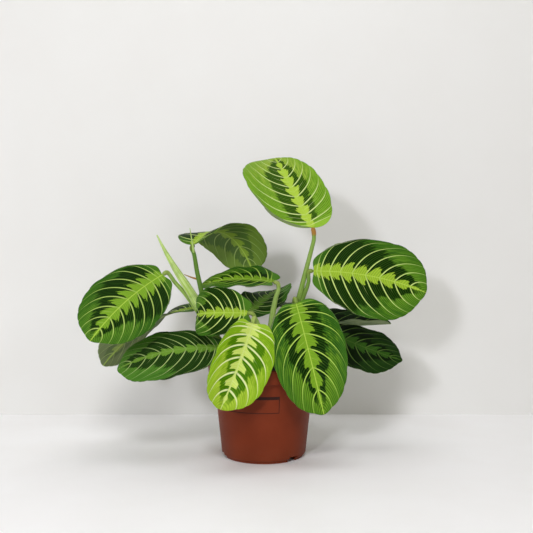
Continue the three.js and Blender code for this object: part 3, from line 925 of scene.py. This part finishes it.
@dataclass(frozen=True)
class Shoot:
    """A shoot: smooth tapering stems that stand in the soil as one."""

    name: str
    stems: tuple[Stem, ...]
    sides: int = 16
    stretch: float = 1.6
    least_steps: int = 8
    end_share: float = 0.55
    ridges: int = 3
    ridge: float = 0.03
    seat_gap: float = 0.2
    half_blade: float = 0.35
    joint_length: float = 9.0
    joint_swell: float = 0.2

    def route(self, stem: Stem, leaves: dict[str, Leaf]) -> list[Vector]:
        """Ends a stem's points along the midrib of its blade.

        Args:
            stem: The stem.
            leaves: The plant's blades by name.

        Returns:
            All its points.
        """
        points = [Vector(p) for p in stem.points]
        if stem.leaf:
            place, along, _, up = leaves[stem.leaf].frames[0]
            seat = place - up * self.half_blade
            points += [seat - along * stem.reach, seat - along * self.seat_gap]
        return points

    def add_stem(self, mesh: BMesh, stem: Stem, points: list[Vector],
                 layers: list[BMLayerItem]) -> None:
        """Adds one tube to the shoot's mesh.

        Args:
            mesh: The shoot's mesh.
            stem: The stem.
            points: The points that it runs through.
            layers: The attribute layers, in the order of STEM_NUMBERS.
        """
        length = sum((b - a).length for a, b in zip(points, points[1:]))
        steps = max(self.least_steps, int(length / self.stretch))
        places = smooth_route(points, steps)
        across = Vector((1, 0, 0))
        rings = []
        for i, place in enumerate(places):
            ahead = (places[min(i + 1, steps)] - places[max(i - 1, 0)]).normalized()
            across = (across - ahead * across.dot(ahead)).normalized()
            other = ahead.cross(across)
            part = i / steps * (len(stem.radii) - 1)
            index = min(int(part), len(stem.radii) - 2)
            radius = blend(stem.radii[index], stem.radii[index + 1], part - index)
            left_over = length * (1 - i / steps)
            if stem.leaf and left_over < self.joint_length:
                radius *= 1 + self.joint_swell * math.sin(math.pi * left_over / self.joint_length) ** 0.5
            if stem.leaf and i in (0, steps):
                radius *= self.end_share
            ring = []
            for k in range(self.sides):
                angle = 2 * math.pi * k / self.sides
                reach = radius * (1 + self.ridge * math.cos(self.ridges * angle))
                vert = mesh.verts.new((place + across * math.cos(angle) * reach
                                       + other * math.sin(angle) * reach) * MM)
                numbers = (stem.tint, left_over if stem.leaf else 0.0, k / self.sides,
                           length * i / steps, stem.warm)
                for layer, number in zip(layers, numbers):
                    vert[layer] = number
                ring.append(vert)
            rings.append(ring)
        bridge(mesh, rings)
        mesh.faces.new(rings[0][::-1])
        mesh.faces.new(rings[-1])

    def build(self, material: Material, leaves: dict[str, Leaf]) -> Object:
        """Makes the shoot's object.

        Args:
            material: The stems' material.
            leaves: The plant's blades by name.

        Returns:
            The object.
        """
        mesh = bmesh.new()
        layers = [mesh.verts.layers.float.new(name) for name in STEM_NUMBERS]
        for stem in self.stems:
            self.add_stem(mesh, stem, self.route(stem, leaves), layers)
        return to_object(mesh, self.name + "_stems", (material,))


SHOOTS = (
    Shoot("shoot_left", (
        Stem(((-20, 8, 64), (-27, 8, 88), (-45, 10, 113), (-62, 12, 139)), (4.2, 4.6, 5), tint=0.4,
             warm=0),
        Stem(((-61, 12, 137), (-69.5, 12, 149), (-86, 10, 172), (-97, 7, 185)), (3, 2.4, 2),
             "leaf_left", 6, 0.6),
        Stem(((-61, 12, 137), (-67, 19, 149)), (3, 2.2, 1.8), "leaf_left_behind", 6, 0.3),
        Stem(((-61, 12, 137), (-64, 5, 156), (-67, -3, 175), (-72, -1, 197), (-76, 8, 215)),
             (3.4, 2.6, 2.1), "leaf_back_left", 5, 0.1),
        Stem(((-61, 12, 137), (-67, 8, 152), (-83, 5, 179.5), (-94.5, 5, 197), (-106.5, 5, 217.5),
              (-116, 5, 236)), (4, 5.2, 4.4, 2.6, 0.7), tint=0.9, warm=0),
        Stem(((-76, 8, 214), (-77.5, 6, 226), (-80.2, 5, 243.5)), (1.3, 0.9, 0.3), tint=0.8, warm=0),
        Stem(((-70.5, -1.5, 188), (-78, -3, 190.3), (-85.5, -3, 193.3)), (1.2, 0.8, 0.35), warm=1),
    )),
    Shoot("shoot_centre", (
        Stem(((4, 4, 64), (4, 4, 90), (8, 6, 140), (13, 9, 168), (16, 10, 177)), (4, 3.8, 3.3, 1.9),
             "leaf_centre_back", 5, 0.6),
        Stem(((4, 4, 90), (-4, 0, 118), (-14, -2, 140)), (3, 2.4, 2), "leaf_centre_dark", 5, 0.2),
        Stem(((4, 4, 90), (-3, -14, 115), (-7, -29, 136), (-8.5, -36, 148)), (3, 2.2, 1.8),
             "leaf_centre_small", 5, 0.4),
        Stem(((4, 4, 90), (2, -18, 112), (-4, -35, 138)), (3, 2.4, 2), "leaf_front_young", 7, 0.7),
        Stem(((4, 4, 90), (14, 16, 122), (20, 21, 148)), (3, 2.2, 1.8), "leaf_back", 5, 0.3),
    )),
    Shoot("shoot_right", (
        Stem(((20, 4, 64), (23, 4, 90), (34, 1, 150), (43, -7, 190), (51, -13, 222), (53, -14, 231)),
             (4.4, 4.2, 3.4, 2.5, 2), "leaf_top", 3, 0.4, 1.0),
        Stem(((33, 1, 146), (41, -3, 166), (47.5, -8, 185)), (3, 2.3, 1.9), "leaf_right", 5, 0.3),
        Stem(((23, 4, 90), (30, -2, 130), (32, -6, 160)), (3, 2.6, 2), "leaf_front_right", 7, 0.4),
        Stem(((23, 4, 90), (33, 5, 114), (45, 5, 132)), (3, 2.4, 1.9), "leaf_low_right", 6, 0.3),
        Stem(((23, 4, 90), (24, 24, 106), (26, 50, 121)), (3, 2.3, 1.8), "leaf_right_folded", 5, 0.2),
    )),
    Shoot("shoot_front_left", (
        Stem(((-16, -8, 64), (-18, -9, 88), (-27, -15, 105), (-34, -18, 114)), (3.4, 3, 2.2),
             "leaf_low_left", 5, 0.4),
        Stem(((-18, -8, 88), (-24, 3, 103), (-28, 12, 114)), (2.6, 2.2, 1.8), "leaf_low_back", 5,
             0.3),
    )),
)


@dataclass(frozen=True)
class StemFinish:
    """Living stem tissue, grown: satin ribbed green, with a tan swollen joint under each blade.

    The pale ribs follow a stem's length, so that the stems look juicy and a little see-through.
    """

    deep: str = "#436a1c"
    light: str = "#aacd54"
    rib: str = "#dfeab4"
    mottle: str = "#5f8a34"
    joint: tuple[str, str] = ("#a8662c", "#9a7a34")
    rib_pace: Pair = (22.0, 0.03)
    rib_step: Step = (0.35, 0.7, 0.0, 0.9)
    mottle_scale: float = 0.12
    mottle_step: Step = (0.4, 0.75, 0.0, 0.35)
    joint_step: Step = (6.5, 10.0, 1.0, 0.0)
    tan_step: Pair = (0.3, 0.7)
    tan_share: float = 0.9
    relief: Pair = (0.3, 0.6)
    roughness: float = 0.45
    gloss: float = 0.2
    see_through: float = 0.08

    def material(self) -> Material:
        """Makes the material.

        Returns:
            The material.
        """
        graph = Graph("living_stem")
        add = graph.add
        tint, left_over, around, along, warm = [
            add("Attribute", attribute_name=name, out="Fac") for name in STEM_NUMBERS]
        around, along = [add("Math.MULTIPLY", value, pace)
                         for value, pace in zip((around, along), self.rib_pace)]
        ribs = add("TexNoise", {"Vector": add("CombineXYZ", around, along), "Scale": 1.0, "Detail": 3.0})
        mottle = add("TexNoise", {"Vector": graph.place(), "Scale": self.mottle_scale, "Detail": 3.0})
        pale = add("Math.MULTIPLY", add("MapRange", ribs, *self.rib_step, **SMOOTH),
                   add("Math.POWER", tint, 2.0))
        tan = graph.lay(self.joint[0], (mottle, self.joint[1], self.tan_step))
        joint = add("MapRange", left_over, *self.joint_step, **SMOOTH)
        joint = add("Math.MULTIPLY", add("Math.MULTIPLY", joint, warm), self.tan_share)
        colour = graph.lay(self.deep, (tint, self.light), (pale, self.rib),
                           (mottle, self.mottle, self.mottle_step),
                           (joint, tan))
        inputs = {"Base Color": colour, "Roughness": self.roughness,
                  "Normal": graph.relief((ribs, *self.relief)), "Specular IOR Level": self.gloss}
        return graph.finish(inputs, colour, self.see_through)


@dataclass(frozen=True)
class Pot:
    """The nursery pot, moulded: turned here from one profile, and cut for drainage."""

    height: float = 98
    rim_radius: float = 60
    rim_chamfer: float = 0.8
    collar_height: float = 15
    collar_foot_radius: float = 58.6
    body_top_radius: float = 53.4
    body_foot_radius: float = 44.8
    foot_radius: float = 42
    foot_width: float = 2.6
    foot_height: float = 3
    disc_radius: float = 30
    channel_height: float = 4.5
    channel_slope: float = 1
    wall: float = 1.4
    notches: int = 3
    notch_angle: float = -46
    notch_width: float = 12
    notch_height: float = 5.5
    holes: int = 6
    hole_radius: float = 3
    overshoot: float = 1
    sides: int = 192
    hole_sides: int = 24
    round_share: float = 0.45
    round_points: int = 4
    crisp_angle: float = 32

    def body_radius(self, height: float) -> float:
        """Finds the outer radius between the foot and the collar.

        Args:
            height: The height above the table.

        Returns:
            The radius.
        """
        along = (height - self.foot_height) / (self.height - self.collar_height - self.foot_height)
        return blend(self.body_foot_radius, self.body_top_radius, along)

    def profile(self) -> list[Point]:
        """Lists the wall's section.

        Returns:
            Corners as radius, height and the radius that the corner is rounded with.
        """
        collar_foot = self.height - self.collar_height
        foot_inside = self.foot_radius - self.foot_width
        floor = self.channel_height + self.wall
        return [
            (0, 0, 0),
            (self.disc_radius, 0, 0.4),
            (self.disc_radius + self.channel_slope, self.channel_height, 0.4),
            (foot_inside - self.channel_slope, self.channel_height, 0.4),
            (foot_inside, 0, 0.4),
            (self.foot_radius, 0, 0.8),
            (self.foot_radius, self.foot_height, 0.3),
            (self.body_foot_radius, self.foot_height, 1.6),
            (self.body_top_radius, collar_foot, 0.5),
            (self.collar_foot_radius, collar_foot, 0.7),
            (self.rim_radius, self.height - self.rim_chamfer, 0.6),
            (self.rim_radius - self.rim_chamfer, self.height, 0.4),
            (self.rim_radius - self.wall - self.rim_chamfer, self.height, 0.4),
            (self.collar_foot_radius - self.wall, collar_foot + self.wall, 0.5),
            (self.body_radius(collar_foot) - self.wall, collar_foot + self.wall, 0.5),
            (self.body_radius(floor) - self.wall, floor, 0.5),
            (self.disc_radius - self.wall + self.channel_slope, floor, 0.4),
            (self.disc_radius - self.wall, self.wall, 0.4),
            (0, self.wall, 0),
        ]

    def rounded(self) -> list[Vector]:
        """Rounds the section's corners.

        Returns:
            The section's points in the XZ plane.
        """
        corners, share, count = self.profile(), self.round_share, self.round_points
        points = []
        for i, (radius, height, round_by) in enumerate(corners):
            here = Vector((radius, 0, height))
            if round_by == 0:
                points.append(here)
                continue
            before, after = [Vector((corners[j][0], 0, corners[j][1])) for j in (i - 1, i + 1)]
            start = here + (before - here).normalized() * min(round_by, (before - here).length * share)
            end = here + (after - here).normalized() * min(round_by, (after - here).length * share)
            for k in range(count):
                t = k / (count - 1)
                points.append(start * (1 - t) ** 2 + here * 2 * t * (1 - t) + end * t ** 2)
        return points

    def cutters(self) -> Object:
        """Makes one object of all the drain notches and holes.

        Returns:
            The object.
        """
        mesh = bmesh.new()
        height = self.notch_height + self.overshoot
        middle = (self.body_foot_radius + self.foot_radius - self.foot_width) / 2
        length = self.body_foot_radius - self.foot_radius + self.foot_width + 2 * self.channel_slope
        for i in range(self.notches):
            turn = Matrix.Rotation(math.radians(self.notch_angle + 360 / self.notches * i), 4, "Z")
            shift = Matrix.Translation(Vector((middle, 0, height / 2 - self.overshoot)) * MM)
            scale = Matrix.Diagonal((length * MM, self.notch_width * MM, height * MM, 1))
            bmesh.ops.create_cube(mesh, size=1, matrix=turn @ shift @ scale)
        ring = (self.disc_radius + self.foot_radius - self.foot_width) / 2
        for i in range(self.holes):
            turn = Matrix.Rotation(math.radians(self.notch_angle + 360 / self.holes * (i + 0.5)), 4, "Z")
            shift = Matrix.Translation(Vector((ring, 0, self.channel_height + self.wall / 2)) * MM)
            bmesh.ops.create_cone(mesh, cap_ends=True, segments=self.hole_sides,
                                  radius1=self.hole_radius * MM, radius2=self.hole_radius * MM,
                                  depth=(self.wall + 2 * self.overshoot) * MM, matrix=turn @ shift)
        return to_object(mesh, "pot_cutters", ())

    def build(self, material: Material) -> Object:
        """Makes the pot's object.

        Args:
            material: The plastic.

        Returns:
            The object.
        """
        mesh = bmesh.new()
        verts = [mesh.verts.new(point * MM) for point in self.rounded()]
        edges = [mesh.edges.new(pair) for pair in zip(verts, verts[1:])]
        bmesh.ops.spin(mesh, geom=verts + edges, cent=(0, 0, 0), axis=(0, 0, 1), angle=2 * math.pi,
                       steps=self.sides, use_merge=True)
        bmesh.ops.remove_doubles(mesh, verts=mesh.verts[:], dist=TINY)
        bmesh.ops.recalc_face_normals(mesh, faces=mesh.faces[:])
        pot = to_object(mesh, "pot_shell", (material,))
        cutters = self.cutters()
        cut = pot.modifiers.new("cut", "BOOLEAN")
        cut.object = cutters
        cut.operation = "DIFFERENCE"
        apply_modifiers(pot)
        bpy.data.objects.remove(cutters)
        shade(pot, self.crisp_angle)
        return pot


def apply_modifiers(piece: Object) -> None:
    """Turns an object's modifiers into plain mesh.

    Args:
        piece: The object.
    """
    graph = bpy.context.evaluated_depsgraph_get()
    result = bpy.data.meshes.new_from_object(piece.evaluated_get(graph))
    old = piece.data
    piece.modifiers.clear()
    piece.data = result
    result.name = old.name
    bpy.data.meshes.remove(old)


def shade(piece: Object, angle: float) -> None:
    """Shades an object smooth, with edges sharper than an angle left crisp.

    Args:
        piece: The object.
        angle: The angle in degrees.
    """
    piece.data.shade_smooth()
    mesh = bmesh.new()
    mesh.from_mesh(piece.data)
    for edge in mesh.edges:
        edge.smooth = len(edge.link_faces) != 2 or edge.calc_face_angle(0.0) < math.radians(angle)
    mesh.to_mesh(piece.data)
    mesh.free()


@dataclass(frozen=True)
class PotFinish:
    """Moulded polypropylene: dull satin red-brown, faintly cloudy, with fine lines round the wall.

    An empty printed label box is on the front. Its angles are in degrees round the pot from
    straight ahead, and the edges of its lines are millimetres in from its own edge.
    """

    colours: tuple[str, str] = ("#6b2a12", "#773118")
    speck: str = "#5d281b"
    dust: str = "#6b4a38"
    ink: str = "#2f1712"
    cloud_scale: float = 0.02
    cloud_step: Pair = (0.3, 0.7)
    speck_scale: float = 1.4
    speck_step: Step = (0.52, 0.8, 0.0, 0.3)
    line_pace: Pair = (0.9, 0.02)
    dust_height: Pair = (30.0, 0.0)
    dust_step: Pair = (0.4, 0.7)
    dust_share: float = 0.3
    label_angle: Pair = (-57.0, 18.5)
    label_height: Pair = (53.0, 70.5)
    label_radius: float = 50
    label_edge: Pair = (0.0, 0.15)
    label_line: Pair = (0.9, 0.75)
    label_band: Pair = (3.4, 3.2)
    ink_step: Step = (0.25, 0.5, 0.8, 1.0)
    speck_relief: Pair = (0.05, 0.5)
    line_relief: Pair = (0.06, 0.35)
    rough_step: Step = (0.3, 0.7, 0.42, 0.56)
    gloss: float = 0.12

    def label(self, graph: Graph, x: NodeSocket, y: NodeSocket, z: NodeSocket) -> NodeSocket:
        """Masks the label's printed frame and the dark band along its upper edge.

        Args:
            graph: The material's node tree.
            x: The place to the right in millimetres.
            y: The place to the back.
            z: The height.

        Returns:
            The mask.
        """
        add = graph.add
        turn = add("Math.ARCTAN2", x, add("Math.MULTIPLY", y, -1.0))
        turn = add("Math.MULTIPLY", turn, 180 / math.pi)
        middles = [sum(ends) / 2 for ends in (self.label_angle, self.label_height)]
        halves = [(ends[1] - ends[0]) / 2 for ends in (self.label_angle, self.label_height)]
        across = add("Math.ABSOLUTE", add("Math.SUBTRACT", turn, middles[0]))
        across = add("Math.SUBTRACT", halves[0], across)
        across = add("Math.MULTIPLY", across, math.pi / 180 * self.label_radius)
        upward = add("Math.SUBTRACT", z, middles[1])
        height = add("Math.SUBTRACT", halves[1], add("Math.ABSOLUTE", upward))
        inner = add("Math.MINIMUM", across, height)
        inside = add("MapRange", inner, *self.label_edge, **SMOOTH)
        line = add("MapRange", inner, *self.label_line, **SMOOTH)
        band = add("MapRange", add("Math.SUBTRACT", halves[1], upward), *self.label_band, **SMOOTH)
        return add("Math.MAXIMUM", *[add("Math.MULTIPLY", part, inside) for part in (line, band)])

    def material(self) -> Material:
        """Makes the material.

        Returns:
            The material.
        """
        graph = Graph("moulded_polypropylene")
        add = graph.add
        place = graph.place()
        x, y, z = [add("SeparateXYZ", place, out=axis) for axis in range(3)]
        cloud = add("TexNoise", {"Vector": place, "Scale": self.cloud_scale, "Detail": 3.0})
        speck = add("TexNoise", {"Vector": place, "Scale": self.speck_scale, "Detail": 4.0,
                                 "Roughness": 0.65})
        up, side = [add("Math.MULTIPLY", value, pace) for value, pace in zip((z, x), self.line_pace)]
        lines = add("TexNoise", {"Vector": add("CombineXYZ", up, side), "Scale": 1.0, "Detail": 3.0})
        dust = add("Math.MULTIPLY", add("MapRange", z, *self.dust_height, **SMOOTH),
                   add("MapRange", speck, *self.dust_step, **SMOOTH))
        ink = add("Math.MULTIPLY", self.label(graph, x, y, z),
                  add("MapRange", speck, *self.ink_step, **SMOOTH))
        colour = graph.lay(self.colours[0],
                           (cloud, self.colours[1], self.cloud_step),
                           (speck, self.speck, self.speck_step),
                           (add("Math.MULTIPLY", dust, self.dust_share), self.dust), (ink, self.ink))
        relief = graph.relief((speck, *self.speck_relief), (lines, *self.line_relief))
        return graph.finish({"Base Color": colour, "Normal": relief, "Specular IOR Level": self.gloss,
                             "Roughness": add("MapRange", speck, *self.rough_step, **SMOOTH)})


@dataclass(frozen=True)
class Soil:
    """Crumbly soil that fills the pot."""

    pot: Pot
    edge_height: float = 86
    mound: float = 5
    shoulder_radius: float = 34
    shoulder_rise: float = 3.8
    gap: float = 0.3
    rings: int = 60
    sides: int = 160
    clump: float = 1.5
    crumb_pace: float = 0.35
    crumb_seed: float = 3.1
    crumb_noise: Step = (0.7, 2.1, 4)
    lump_pace: float = 0.16
    lump_seed: float = 8.2
    lump_floor: float = -0.4
    crumb_share: float = 0.7
    lump_share: float = 0.6

    def height(self, x: float, y: float, radius: float) -> float:
        """Finds the height of the soil's face.

        Args:
            x: The place in millimetres.
            y: The place in millimetres.
            radius: Its distance from the pot's axis.

        Returns:
            The height.
        """
        edge = self.edge_radius()
        if radius < self.shoulder_radius:
            swell = blend(self.mound, self.shoulder_rise, radius / self.shoulder_radius)
        else:
            outward = (radius - self.shoulder_radius) / (edge - self.shoulder_radius)
            swell = blend(self.shoulder_rise, 0, outward)
        place = Vector((x * self.crumb_pace, y * self.crumb_pace, self.crumb_seed))
        crumbs = noise.fractal(place, *self.crumb_noise)
        place = Vector((x * self.lump_pace, y * self.lump_pace, self.lump_seed))
        lumps = max(noise.noise(place), self.lump_floor)
        rough = max(min(crumbs * self.crumb_share + lumps * self.lump_share, 1.0), -1.0)
        return self.edge_height + swell - self.clump + self.clump * rough

    def edge_radius(self) -> float:
        """Finds the soil's outer radius at its face.

        Returns:
            The radius.
        """
        return self.pot.collar_foot_radius - self.pot.wall - self.gap

    def build(self, material: Material) -> Object:
        """Makes the soil's object.

        Args:
            material: The soil's material.

        Returns:
            The object.
        """
        pot = self.pot
        mesh = bmesh.new()
        edge = self.edge_radius()
        turns = [2 * math.pi * k / self.sides for k in range(self.sides)]
        spokes = [(math.cos(turn), math.sin(turn)) for turn in turns]
        centre = mesh.verts.new(Vector((0, 0, self.height(0, 0, 0))) * MM)
        radii = [edge * i / self.rings for i in range(1, self.rings + 1)]
        places = [[(radius * x, radius * y, self.height(radius * x, radius * y, radius))
                   for x, y in spokes] for radius in radii]
        inset = pot.wall + self.gap
        ledge = pot.height - pot.collar_height + inset
        floor = pot.channel_height + inset
        sump = pot.disc_radius - inset
        below = [(edge, ledge), (pot.body_radius(ledge) - inset, ledge),
                 (pot.body_radius(floor) - inset, floor), (sump + pot.channel_slope, floor),
                 (sump, inset)]
        places += [[(radius * x, radius * y, height) for x, y in spokes] for radius, height in below]
        rings = [[mesh.verts.new(Vector(place) * MM) for place in ring] for ring in places]
        bridge(mesh, rings, inward=True)
        for k in range(self.sides):
            mesh.faces.new((centre, rings[0][k - 1], rings[0][k])).smooth = True
        mesh.faces.new(rings[-1][::-1]).smooth = True
        return to_object(mesh, "soil_fill", (material,))


@dataclass(frozen=True)
class SoilFinish:
    """Moist potting soil, loose: a dark rough crumb of about 2 mm, with a few pale flecks in it."""

    colours: tuple[str, str] = ("#1b1410", "#43311f")
    fleck: str = "#8d7a5e"
    crumb_scale: float = 0.5
    crumb_step: Pair = (0.35, 0.7)
    fleck_scale: float = 0.28
    fleck_step: Step = (0.16, 0.1, 0.0, 0.7)
    relief: Pair = (1.2, 1.0)
    roughness: float = 0.95

    def material(self) -> Material:
        """Makes the material.

        Returns:
            The material.
        """
        graph = Graph("moist_potting_soil")
        add = graph.add
        place = graph.place()
        crumbs = add("TexNoise", {"Vector": place, "Scale": self.crumb_scale, "Detail": 5.0,
                                  "Roughness": 0.7})
        fleck = add("TexVoronoi", {"Vector": place, "Scale": self.fleck_scale}, out="Distance")
        colour = graph.lay(self.colours[0],
                           (crumbs, self.colours[1], self.crumb_step),
                           (fleck, self.fleck, self.fleck_step))
        return graph.finish({"Base Color": colour, "Roughness": self.roughness,
                             "Normal": graph.relief((crumbs, *self.relief))})


@dataclass(frozen=True)
class Studio:
    """The camera, the lights, the table and the wall, in metres where not said otherwise.

    The table and the wall are a colour and a roughness each, and a lamp is its name, place, width,
    power in watts and colour.
    """

    eye: Point = (0.0029, -0.781, 0.2018)
    focal_pixels: float = 725
    image_pixels: float = 533
    sensor: float = 36
    near: float = 0.01
    wall_distance: float = 0.208
    floor_reach: float = 3.0
    lamps: tuple[tuple[str, Point, float, float, str], ...] = (
        ("key", (-0.5, -1.5, 0.52), 0.13, 7.9, "#f6f6ff"),
        ("fill", (0.8, -1.45, 0.62), 0.3, 2.0, "#fdfcff"),
        ("front", (0.0, -1.35, 1.08), 0.3, 9.6, "#fefdff"),
        ("top", (0.05, -0.35, 1.7), 0.8, 6.6, "#fefdff"),
        ("side", (-1.2, -0.02, 0.2), 0.25, 1.9, "#fefdff"),
    )
    aim: Point = (0, 0, 0.18)
    room: str = "#f2e7b0"
    room_strength: float = 0.1
    table: tuple[str, float] = ("#fdfdfe", 0.6)
    wall: tuple[str, float] = ("#e6e6e3", 0.9)
    cloud: str = "#dddad4"
    cloud_scale: float = 0.01
    cloud_step: Step = (0.3, 0.7, 0.0, 0.12)

    def camera(self) -> None:
        """Places the camera level, as in the photograph."""
        data = bpy.data.cameras.new("camera")
        data.sensor_width = self.sensor
        data.lens = self.focal_pixels / self.image_pixels * self.sensor
        data.clip_start = self.near
        camera = bpy.data.objects.new("camera", data)
        camera.location = self.eye
        camera.rotation_euler = (math.pi / 2, 0, 0)
        bpy.context.scene.collection.objects.link(camera)
        bpy.context.scene.camera = camera

    def lights(self) -> None:
        """Adds the key light low from the left, four softer ones and the room's own faint light."""
        for name, place, width, power, colour in self.lamps:
            data = bpy.data.lights.new(name, "AREA")
            data.energy = power
            data.size = width
            data.color = linear(colour)[:3]
            light = bpy.data.objects.new(name, data)
            light.location = place
            toward = Vector(self.aim) - Vector(place)
            light.rotation_euler = toward.to_track_quat("-Z", "Y").to_euler()
            bpy.context.scene.collection.objects.link(light)
        world = bpy.data.worlds.new("room")
        world.use_nodes = True
        background = world.node_tree.nodes["Background"]
        background.inputs[0].default_value = linear(self.room)
        background.inputs[1].default_value = self.room_strength
        bpy.context.scene.world = world

    def stage(self) -> None:
        """Adds the table and the wall, which aren't part of the object.

        Both are board with white paint, rolled: pale, dull and faintly cloudy, so that shadows lie
        softly on them. The wall is clear from behind, so that the plant's back can be looked at.
        """
        far, back = self.floor_reach, self.wall_distance
        sheets = {
            "table_top": ([(-far, -far, 0), (far, -far, 0), (far, back, 0), (-far, back, 0)],
                          *self.table),
            "wall": ([(-far, back, 0), (far, back, 0), (far, back, far), (-far, back, far)], *self.wall),
        }
        for name, (corners, colour, rough) in sheets.items():
            graph = Graph(name + "_paint")
            cloud = graph.add("TexNoise", {"Vector": graph.place(), "Scale": self.cloud_scale,
                                           "Detail": 3.0})
            paint = graph.lay(colour, (cloud, self.cloud, self.cloud_step))
            inputs = {"Base Color": paint, "Roughness": rough}
            material = graph.finish(inputs, one_sided=name == "wall")
            mesh = bmesh.new()
            mesh.faces.new([mesh.verts.new(corner) for corner in corners])
            to_object(mesh, name, (material,))

    def build(self) -> None:
        """Sets up the whole studio."""
        self.camera()
        self.lights()
        self.stage()


def settle(piece: Object, node: str, slot: str) -> None:
    """Hangs a piece on the frame's root and hides the node's part in the frame.

    Args:
        piece: The piece.
        node: The node that it replaces.
        slot: The record's material slot, which is not used.
    """
    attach(piece, "root")
    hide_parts(node)


def main() -> None:
    """Builds the scene in order: studio, pot, soil, stems and blades.

    Each piece is reported with its count of vertices.
    """
    logging.basicConfig(level=logging.INFO, format="%(message)s")
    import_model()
    bpy.context.scene.view_settings.view_transform = "Standard"
    Studio().build()
    pot = Pot()
    pieces = [(pot.build(PotFinish().material()), "pot", "pot"),
              (Soil(pot).build(SoilFinish().material()), "soil", "soil")]
    leaves = {leaf.name: leaf for leaf in LEAVES}
    skin = StemFinish().material()
    pieces += [(shoot.build(skin, leaves), shoot.name, "stem") for shoot in SHOOTS]
    faces = {}
    for i, leaf in enumerate(LEAVES):
        if leaf.look not in faces:
            kind = BladeMaterial(leaf.look)
            faces[leaf.look] = (kind.upper(), kind.lower())
        slot = "young_blade" if leaf.look is Look.YOUNG else "blade"
        pieces.append((leaf.build(faces[leaf.look], SEED_STEP * i), leaf.name, slot))
    for piece, node, slot in pieces:
        settle(piece, node, slot)
        LOG.info("%s: %d vertices", piece.name, len(piece.data.vertices))


if __name__ == "__main__":
    main()
